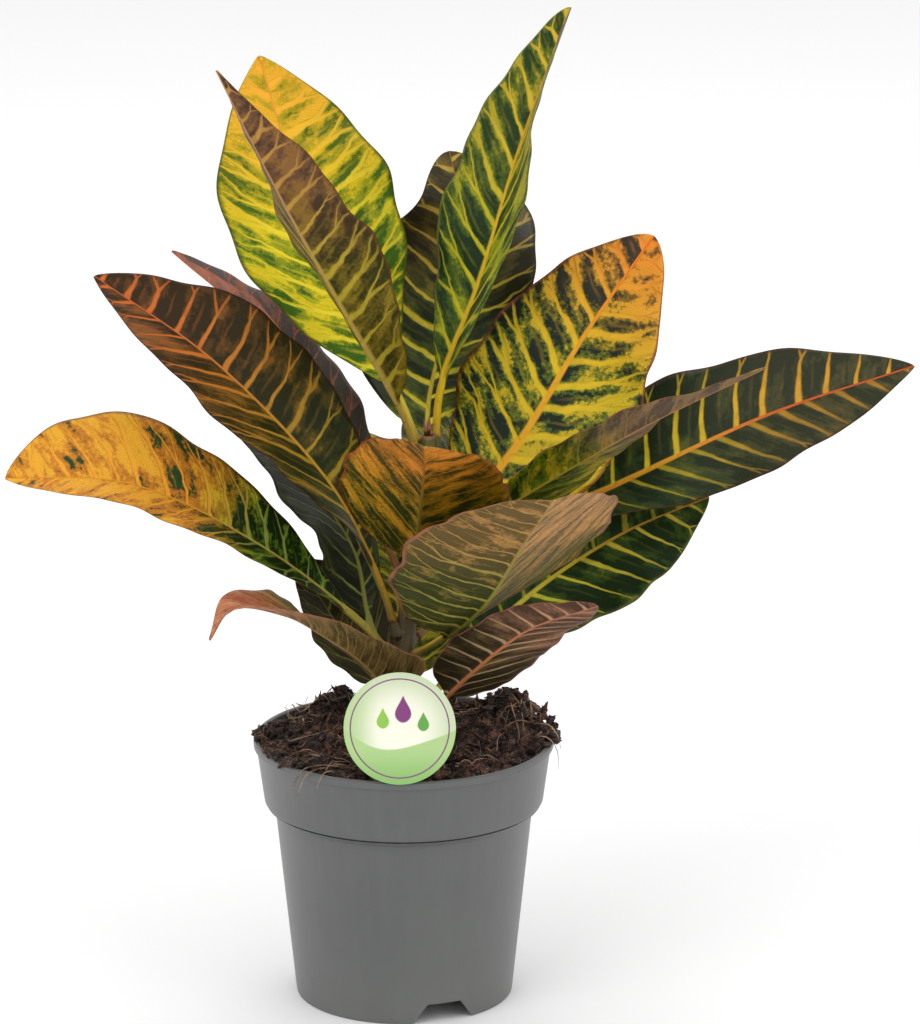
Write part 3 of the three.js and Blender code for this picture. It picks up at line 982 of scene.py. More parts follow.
@dataclass
class Label:
    """Round plastic plant tag on a flat spike, with a plain garden motif."""

    radius: float = 21.8
    thick: float = 0.9
    centre: tuple[float, float, float] = (-0.9, -54, 126.4)
    lean: float = 18
    spike: float = 6
    spike_front: float = -53.6
    spike_top: float = 126.4
    spike_foot: float = 84
    spike_point: float = 6
    spike_waist: float = 98

    def soften(self, piece: Piece, width: float) -> None:
        """Rounds the edges of a part of the tag."""
        apply_modifier(piece, "BEVEL", width=width * MM, segments=2, limit_method="ANGLE")

    def disc(self) -> Piece:
        """Disc with softened edges, leaning back.

        Returns:
            The disc.
        """
        cylinder = bpy.ops.mesh.primitive_cylinder_add
        piece = made(cylinder, vertices=128, radius=self.radius * MM, depth=self.thick * MM)
        self.soften(piece, 0.25)
        turn = Euler((math.radians(90 - self.lean), 0, 0)).to_matrix()
        reshape(piece, points(piece) @ np.array(turn).T + np.array(self.centre) * MM)
        return piece

    def peg(self) -> Piece:
        """Flat spike with a point, down into the soil.

        Returns:
            The spike.
        """
        piece = made(bpy.ops.mesh.primitive_cube_add, size=1)
        edit(piece)
        bpy.ops.mesh.subdivide(number_cuts=1)
        bpy.ops.object.mode_set(mode="OBJECT")
        flat = points(piece)
        foot = np.where(flat[:, 0] == 0, self.spike_foot, self.spike_foot + self.spike_point)
        z = np.where(flat[:, 2] < 0, foot, np.where(flat[:, 2] > 0, self.spike_top, self.spike_waist))
        x = self.centre[0] + flat[:, 0] * self.spike
        y = self.spike_front + flat[:, 1] * self.thick
        reshape(piece, np.stack([x, y, z], axis=1) * MM)
        self.soften(piece, 0.15)
        return piece

    def build(self) -> None:
        """Makes the tag."""
        tag = joined([self.disc(), self.peg()])
        bpy.ops.object.shade_smooth_by_angle(angle=math.radians(35))
        printed = Print().shade(self.centre, self.lean, self.radius).material
        dress(tag, "plant_tag", printed, "label")


@dataclass(frozen=True)
class Bark:
    """Young bark, green at the top and grey-brown below, with pale pores."""

    low: Colour = (92, 76, 52)
    high: Colour = (98, 104, 58)
    bud: Colour = (140, 88, 54)
    crack: Colour = (48, 38, 26)
    pore: Colour = (160, 142, 104)
    rough: float = 0.62
    grain: float = 0.25

    def shade(self) -> Shade:
        """Makes the material.

        Returns:
            Its shade.
        """
        shade = Shade("young_bark")
        place = shade.place()
        x, y, z = shade.parts(place)
        streak = shade.noise(shade.vector(x, y, z * 0.2), 500, 3)
        pores = shade.noise(place, 700, 2).step(0.66, 0.74)
        tone = shade.mix(z.step(0.13, 0.21), srgb(*self.low), srgb(*self.high))
        tone = shade.mix(z.step(0.226, 0.232), tone, srgb(*self.bud))
        tone = shade.mix(streak.step(0.35, 0.7), shade.mix(0.5, tone, srgb(*self.crack)), tone)
        tone = shade.mix(pores * 0.5, tone, srgb(*self.pore))
        shade.finish(tone, self.rough, streak + pores * 0.4, self.grain)
        return shade


# Folded young leaves at the top of the stem: way from its tip, rise and width.
BUDS = ((0, 0, 8, 2.0), (-2.2, -1.2, 7, 1.3), (1.4, -2, 5.5, 1.2), (-1, 2, 6, 1.2))


@dataclass
class Stem:
    """Short woody stem, a cushion under each leaf, and the growing tip."""

    route: tuple = (
        (2, 0, 70), (1.7, 0, 106), (0.6, 0, 140), (2.6, 0, 163), (6.6, 0, 183), (9, 0, 206), (10.4, 0, 230)
    )
    foot: float = 4.7
    top: float = 3.1
    reach: float = 2.3

    def __post_init__(self) -> None:
        """Lays the stem's curve."""
        self.curve = Curve(self.route)

    def at(self, height: float) -> tuple[Array, float]:
        """Middle and radius of the stem at a height.

        Args:
            height: Height above the floor.

        Returns:
            The middle and the radius.
        """
        table = self.curve.points
        centre = np.array([np.interp(height, table[:, 2], table[:, k]) for k in range(3)])
        share = (height - self.route[0][2]) / (self.route[-1][2] - self.route[0][2])
        return centre, self.foot + (self.top - self.foot) * share

    def seat(self, height: float, first: Sequence[float]) -> Array:
        """Where a leaf's stalk begins, on the side of the first point of its route.

        Args:
            height: Height of the seat.
            first: First point of the leaf's route.

        Returns:
            The seat.
        """
        centre, radius = self.at(height)
        out = np.array(first, float) - centre
        out[2] = 0
        return centre + out / np.linalg.norm(out) * (radius + self.reach)

    def trunk(self) -> Piece:
        """Stem with uneven bark and rings where old leaves grew.

        Returns:
            The stem without its cushions.
        """

        def place(around: Array, along: Array) -> Array:
            """Points of the stem.

            Args:
                around: Share round it, 0 to 1.
                along: Share along it, 0 to 1.

            Returns:
                The points in metres.
            """
            middle, _ = self.curve.at(along * self.curve.length)
            turn = TURN * around
            scar = np.maximum(0, np.sin(along * 120 + np.cos(turn) * 1.5)) ** 6
            ridge = np.sin(turn * 5 + along * 9) * 0.12 + np.sin(turn * 3 - along * 31) * 0.1
            radius = self.foot + (self.top - self.foot) * along + 0.25 * scar + ridge
            ring = np.stack([radius * np.cos(turn), radius * np.sin(turn), 0 * turn], axis=1)
            return (middle + ring) * MM

        return tube(28, 110, place)

    def lump(self, start: Array, end: Array, wide: float, narrow: float, point: float = 0.0) -> Piece:
        """Tapered plug from start to end, blunt or drawn to a point.

        Args:
            start: Middle of one end.
            end: Middle of the other end.
            wide: Radius at the start.
            narrow: Radius at the end.
            point: How far it is drawn to a point, 0 to 1.

        Returns:
            The plug.
        """
        way = (end - start) / np.linalg.norm(end - start)
        side = np.cross(way, (0.3, 0.5, 0.81))
        side /= np.linalg.norm(side)
        other = np.cross(way, side)

        def place(around: Array, along: Array) -> Array:
            """Points of the plug.

            Args:
                around: Share round it, 0 to 1.
                along: Share along it, 0 to 1.

            Returns:
                The points in metres.
            """
            radius = wide + (narrow - wide) * smooth(along, 0, 1)
            radius = radius * (1 - point * along) * np.where(along > 0.999, 0.6, 1)
            turn = (TURN * around)[:, None]
            spread = radius[:, None] * (side * np.cos(turn) + other * np.sin(turn))
            return (start + (end - start) * along[:, None] + spread) * MM

        return tube(16, 8, place)

    def build(self, leaves: Sequence["Leaf"]) -> None:
        """Makes the stem with one cushion for each leaf and a bud of folded young leaves.

        Args:
            leaves: Leaves that grow on it.
        """
        parts = [self.trunk()]
        for leaf in leaves:
            seat = self.seat(leaf.height, leaf.route[0])
            way = leaf.curve(self).at(np.array([0.0]))[1][0]
            parts.append(self.lump(seat - way * 7, seat + way * 0.8, 2.7, 1.75))
        tip = np.array(self.route[-1], float)
        for dx, dy, up, wide in BUDS:
            start, end = tip + (dx * 0.3, dy * 0.3, -3), tip + (dx, dy, up)
            parts.append(self.lump(start, end, wide, wide * 0.3, 0.75))
        dress(joined(parts), "stem_bark", Bark().shade().material, "stem")


@dataclass(frozen=True)
class Face:
    """Colours (sRGB, 0 to 255) and pattern of one side of a leaf. Pairs of colours run from base to tip."""

    dark: tuple[Colour, Colour]
    mid: tuple[Colour, Colour]
    bright: tuple[Colour, Colour]
    vein: tuple[Colour, Colour]
    rib: tuple[Colour, Colour]
    margin: Colour
    cover_base: float = 0.3
    cover_tip: float = 0.3
    tip_cover: float = 0.0
    right_cover: float = 0.0
    rim: float = 0.05
    halo: float = 0.5
    grit: float = 0.7
    patch: float = 2.5
    streak: float = 1.2
    vein_width: float = 0.8
    vein_show: float = 1.0
    rib_width: float = 0.85
    rough: float = 0.42


def one(red: int, green: int, blue: int) -> tuple[Colour, Colour]:
    """The same colour from base to tip."""
    return (red, green, blue), (red, green, blue)


PLAIN_BACK = Face(
    one(66, 50, 38), one(88, 70, 46), one(110, 88, 56), one(140, 116, 70), ((150, 130, 76), (150, 96, 70)),
    (136, 82, 60), 0.4, 0.4, vein_width=0.6, vein_show=0.7, rough=0.55
)
GREEN_TOP = Face(
    one(38, 58, 26), one(90, 104, 34), one(190, 180, 50), one(206, 190, 60), one(210, 170, 60),
    (150, 120, 60), 0.4, 0.36, halo=0.6
)
DARK_TOP = Face(
    one(28, 38, 26), one(48, 58, 36), one(90, 94, 48), ((190, 176, 76), (176, 140, 80)),
    ((190, 160, 70), (170, 110, 76)), (96, 70, 56), 0.22, 0.2, halo=0.4
)


@dataclass
class Leaf:
    """One leaf: its place on the stem, its blade and its two faces. Pairs give the left half, then the right.

    The pairs ends, roll and turn run from base to tip instead, and wave gives height and number of waves.
    """

    name: str
    slot: str
    height: float
    petiole: float
    route: tuple
    half: Pair
    peak: Pair
    ends: Pair
    roll: Pair
    fold: Pair
    cup: float
    wave: Pair
    upper: Face = GREEN_TOP
    lower: Face = PLAIN_BACK
    spacing: float = 9.5
    slant: Pair = (0.5, 0.5)
    arch: float = 0.006
    turn: Pair = (0.35, 0.75)
    between: float = 0.4
    wander: float = 1.0
    fork: float = 0.42
    faint: Pair = (0.0, 0.0)
    seed: float = 1.0

    thick: float = 0.62
    frill: float = 0.03
    flutter: float = 0.55
    quilting: float = 0.22
    keel: float = 1.5
    stalk_share: float = 0.12
    stalk_radius: float = 1.55
    foot_swell: float = 0.7
    sides: int = 56
    steps: int = 120

    def curve(self, stem: Stem) -> Curve:
        """Curve of the stalk and the midrib."""
        return Curve([stem.seat(self.height, self.route[0]), *self.route])

    def width(self, share: Array, peak: float) -> Array:
        """Share of the widest half width along the blade.

        Args:
            share: Share of the blade, from base to tip.
            peak: Share where the half is widest.

        Returns:
            Share of the half width.
        """
        rise = np.sin(np.pi / 2 * np.clip(share / peak, 0, 1)) ** self.ends[0]
        fall = np.cos(np.pi / 2 * np.clip((share - peak) / (1 - peak), 0, 1)) ** self.ends[1]
        return np.where(share < peak, rise, fall)

    def shares(self, around: Array, along: Array, length: float) -> tuple[Array, ...]:
        """Reading of a point of the leaf from its place on the grid.

        Args:
            around: Share round the leaf, the upper side first.
            along: Share from seat to tip.
            length: Length of stalk and midrib.

        Returns:
            Place across (1 left margin, -1 right), 1 on the underside, distance from the seat, and share
            of the blade.
        """
        under = (around > 0.5).astype(float)
        across = np.where(around > 0.5, 4 * around - 3, 1 - 4 * around)
        across = np.sign(across) * np.abs(across) ** 1.25
        stalk = self.stalk_share
        blade = np.clip((along - stalk) / (1 - stalk), 0, 1)
        even = 0.45 * blade + 0.55 * (1 - np.cos(np.pi * blade)) / 2
        start = self.petiole * np.clip(along / stalk, 0, 1)
        distance = np.where(along < stalk, start, self.petiole + (length - self.petiole) * even)
        share = np.clip((distance - self.petiole) / (length - self.petiole), 0, 1)
        return across, under, distance, share

    def surface(self, curve: Curve, around: Array, along: Array) -> tuple[Array, Array]:
        """Points of the leaf.

        Args:
            curve: Curve of stalk and midrib.
            around: Share round the leaf, the upper side first.
            along: Share from seat to tip.

        Returns:
            The points in metres, and the reach of each from the midrib in millimetres.
        """
        across, under, distance, share = self.shares(around, along, curve.length)
        left = across > 0
        hand = np.where(left, 1, -1)
        size = np.abs(across)

        def pair(values: Sequence[Any]) -> Array:
            """Value of the half that each point is on."""
            return np.where(left, *values)

        def waves(count: float, start: float, shift: float) -> Array:
            """Waves along the blade, shifted on its right half."""
            return np.sin(TURN * (count * share + start) + pair((0, shift)))

        middle, way = curve.at(distance)
        side = np.cross((0, 0, 1), way)
        side /= np.linalg.norm(side, axis=1)[:, None]
        up = np.cross(way, side)
        roll = np.radians(self.roll[0] + (self.roll[1] - self.roll[0]) * smooth(share, 0, 1))[:, None]
        out = side * np.cos(roll) + up * np.sin(roll)
        above = up * np.cos(roll) - side * np.sin(roll)

        width = pair((self.width(share, self.peak[0]), self.width(share, self.peak[1])))
        frill = 1 + self.frill * size**3 * waves(4.3, self.seed, 2.6) * smooth(share, 0.1, 0.3)
        reach = size * (0.25 + pair(self.half) * width * frill)
        lift = self.wave[0] * size**2 * width * waves(self.wave[1], 0, 1.7)
        lift += self.flutter * size**4 * width * waves(self.wave[1] * 2.7, self.seed, 2.1)
        run = share * (curve.length - self.petiole)
        vein = (run - pair(self.slant) * reach - self.arch * reach**2) / self.spacing
        quilt = np.cos(TURN * vein) * size * (1 - size) * 4 * smooth(share, 0.04, 0.15)
        lift -= self.quilting * quilt * smooth(1 - share, 0.03, 0.12)

        fold = np.radians(pair(self.fold))
        bend = math.radians(self.cup) * size
        tilt = hand * (fold + bend)
        sign = 1 - 2 * under
        skin = self.thick / 2 * (1 - size**8)
        keel = self.keel * (1 - share) + 0.25
        furrow = 0.12 - 0.3 * np.exp(-(reach**2) / 0.3)
        rib = np.exp(-(reach**2) / 1.7) * np.where(under > 0, keel, furrow)
        a = hand * reach * np.cos(fold + bend / 2) - sign * np.sin(tilt) * skin
        b = reach * np.sin(fold + bend / 2) + lift + sign * (np.cos(tilt) * skin + rib)

        turn = TURN * around
        swell = self.stalk_radius + self.foot_swell * np.exp(-distance / 2.5)
        round_a = swell * np.cos(turn)
        round_b = swell * np.sin(turn) * np.where(np.sin(turn) > 0.6, 0.82, 1)
        spread = smooth(share, 0, 0.06)
        a = round_a + (a - round_a) * spread
        b = round_b + (b - round_b) * spread
        return (middle + out * a[:, None] + above * b[:, None]) * MM, reach

    def blade(self, curve: Curve) -> Piece:
        """Leaf as one closed tube, round at its stalk and flat along its blade.

        Args:
            curve: Curve of stalk and midrib.

        Returns:
            The leaf, with its place and span stored.
        """
        piece = tube(self.sides, self.steps, lambda around, along: self.surface(curve, around, along)[0])
        layer = piece.data.uv_layers[0]
        flat = np.empty(len(piece.data.loops) * 2, np.float32)
        layer.data.foreach_get("uv", flat)
        flat = flat.reshape(-1, 2).astype(float)
        centre = np.empty(len(flat))
        for face in piece.data.polygons:
            loops = list(face.loop_indices)
            centre[loops] = flat[loops, 0].mean()
        around = np.where(centre > 0.5, np.maximum(flat[:, 0], 0.5 + 1e-6), np.minimum(flat[:, 0], 0.5))
        across, under, distance, _ = self.shares(around, flat[:, 1], curve.length)
        reach = self.surface(curve, around, flat[:, 1])[1]
        past_stalk = distance - self.petiole
        self.store(piece, "place", across * 0.5 + 0.5, past_stalk / (curve.length - self.petiole))
        self.store(piece, "span", np.sign(across) * reach / 100, past_stalk / 100)
        side = piece.data.attributes.new("under", "FLOAT", "CORNER")
        side.data.foreach_set("value", under.astype(np.float32))
        return piece

    def store(self, piece: Piece, name: str, first: Array, second: Array) -> None:
        """Adds a UV map of two values for each face corner."""
        layer = piece.data.uv_layers.new(name=name)
        layer.data.foreach_set("uv", np.stack([first, second], axis=1).astype(np.float32).ravel())

    def dress_sides(self) -> Shade:
        """Living leaf: zones of colour that follow the veins, forked veins, midrib, stalk and margin.

        Returns:
            The leaf's shade.
        """
        shade = Shade("leaf_" + self.name)
        up, low = self.upper, self.lower
        under = shade.add("ShaderNodeAttribute", {"attribute_name": "under"}, {}, "Fac")
        q, t, _ = shade.parts(shade.add("ShaderNodeUVMap", {"uv_map": "place"}, {}))
        x, s, _ = shade.parts(shade.add("ShaderNodeUVMap", {"uv_map": "span"}, {}))
        q = abs(q * 2 - 1)
        hand = x > 0
        reach = abs(x) * 100

        def two(name: str) -> Any:
            """A number of the two faces."""
            return shade.blend(under, getattr(up, name), getattr(low, name))

        def along(name: str) -> Val:
            """A colour of the two faces, from base to tip.

            Args:
                name: Field of Face.

            Returns:
                The colour.
            """
            tip = t.step(*self.turn)
            pairs = [shade.mix(tip, *(lit(c) for c in getattr(face, name))) for face in (up, low)]
            return shade.mix(under, *pairs)

        def noise_at(a: Any, b: Any, c: Any, *look: float) -> Val:
            """Noise at a place that is this leaf's own."""
            return shade.noise(shade.vector(a, b, c + self.seed), *look)

        drift = noise_at(x, s, hand * 3, 5, 2) - 0.5
        shake = noise_at(x, s, hand * 5, 22, 2) - 0.5
        slant = shade.blend(hand, self.slant[1], self.slant[0])
        run = s * 100 + drift * (7 * self.wander) + shake * (1.6 * self.wander)
        phase = (run - reach * slant - reach * reach * self.arch) * (1 / self.spacing) + hand * 0.4 + 40
        cell = shade.math("FLOOR", phase)
        own = shade.vector(cell, hand, self.seed)
        dice = shade.add("ShaderNodeTexWhiteNoise", {"noise_dimensions": "3D"}, {0: own}, 1)
        first, other, third = shade.parts(dice)

        # Side veins, each forked toward the margin, and a small one between two.
        part = abs(phase.frac() - 0.5 + (first - 0.5) * 0.24)
        split = first * 0.3 + self.fork
        fork = shade.math("MAXIMUM", (q - split) * (0.55 + other * 0.35), 0.0)
        main = abs(part - fork) * self.spacing
        thin = 1.15 - q * 0.75
        line = (main / (thin * two("vein_width") * (0.6 + third * 0.7))).step(1.25, 0.45)
        line = line * (1 - q.step(0.9, 1.0) * other)
        cross = abs(phase.frac() - 0.5)
        small = ((0.5 - cross) * self.spacing / two("vein_width")).step(0.75, 0.15)
        small = small * q.step(0.03, 0.3) * (1 - q.step(0.5, 0.85)) * self.between

        # Zones of colour that follow the side veins.
        near = main.step(self.spacing * 0.4, 0.0)
        coarse = noise_at(phase * 0.9, reach * 0.06, hand * 2, 1.3, 2, 0.5) - 0.5
        streak = noise_at(phase * 3.2, reach * 0.11, hand * 2, 1.4, 3, 0.6) - 0.5
        fine = noise_at(x, s, 0, 62, 4, 0.62) - 0.5
        amount = t.step(0.08, 0.85) * (two("cover_tip") - two("cover_base")) + two("cover_base")
        amount = amount + t.step(0.7, 0.97) * two("tip_cover") + (1 - hand) * two("right_cover")
        amount = amount - q.step(0.45, 1.0) * two("rim")
        field = coarse * two("patch") + streak * two("streak") + fine * 1.7 * two("grit")
        field = field + amount + near * (two("halo") * 0.5)
        tone = shade.mix(field.step(0.12, 0.46), along("dark"), along("mid"))
        tone = shade.mix(field.step(0.46, 0.92), tone, along("bright"))
        grain = noise_at(x, s, 0, 210, 3, 0.6)
        tone = shade.mix(grain.step(0.62, 0.3) * 0.28, tone, (0.008, 0.012, 0.006))

        # Veins, midrib, stalk and margin over the zones.
        net = noise_at(phase * 0.6, reach * 0.09, hand, 2.5, 2, 0.6)
        veins = shade.math("MAXIMUM", line, small) * (0.45 + net) * two("vein_show")
        veins = veins * (1 - shade.blend(hand, self.faint[1], self.faint[0]))
        veins = shade.math("MINIMUM", veins, 1.0) * t.step(0.0, 0.03)
        tone = shade.mix(veins, tone, shade.mix(q.step(0.3, 1.1) * 0.5, along("vein"), along("mid")))
        ribbing = (reach / (shade.math("MAXIMUM", 1.15 - t, 0.3) * two("rib_width"))).step(1.4, 0.6)
        stalk = t.step(0.012, -0.004)
        stem_tone = shade.mix(t.step(-0.24, -0.03), srgb(122, 86, 52), along("rib"))
        tone = shade.mix(shade.math("MAXIMUM", ribbing, stalk), tone, stem_tone)
        edge = (q + shake * 0.05).step(0.945, 0.995) * (1 - stalk)
        tone = shade.mix(edge * 0.8, tone, shade.mix(under, lit(up.margin), lit(low.margin)))
        rough = two("rough") + fine * 0.12
        height = grain * 0.2 + fine * 0.5
        height = height - line * shade.blend(under, 0.5, -0.5) - ribbing * shade.blend(under, 0.2, 0.0)
        shade.finish(tone, rough, height, 0.4, Specular_IOR_Level=0.14)
        return shade

    def build(self, stem: Stem) -> None:
        """Makes the leaf."""
        piece = self.blade(self.curve(stem))
        dress(piece, self.name + "_blade", self.dress_sides().material, "leaf_" + self.name)


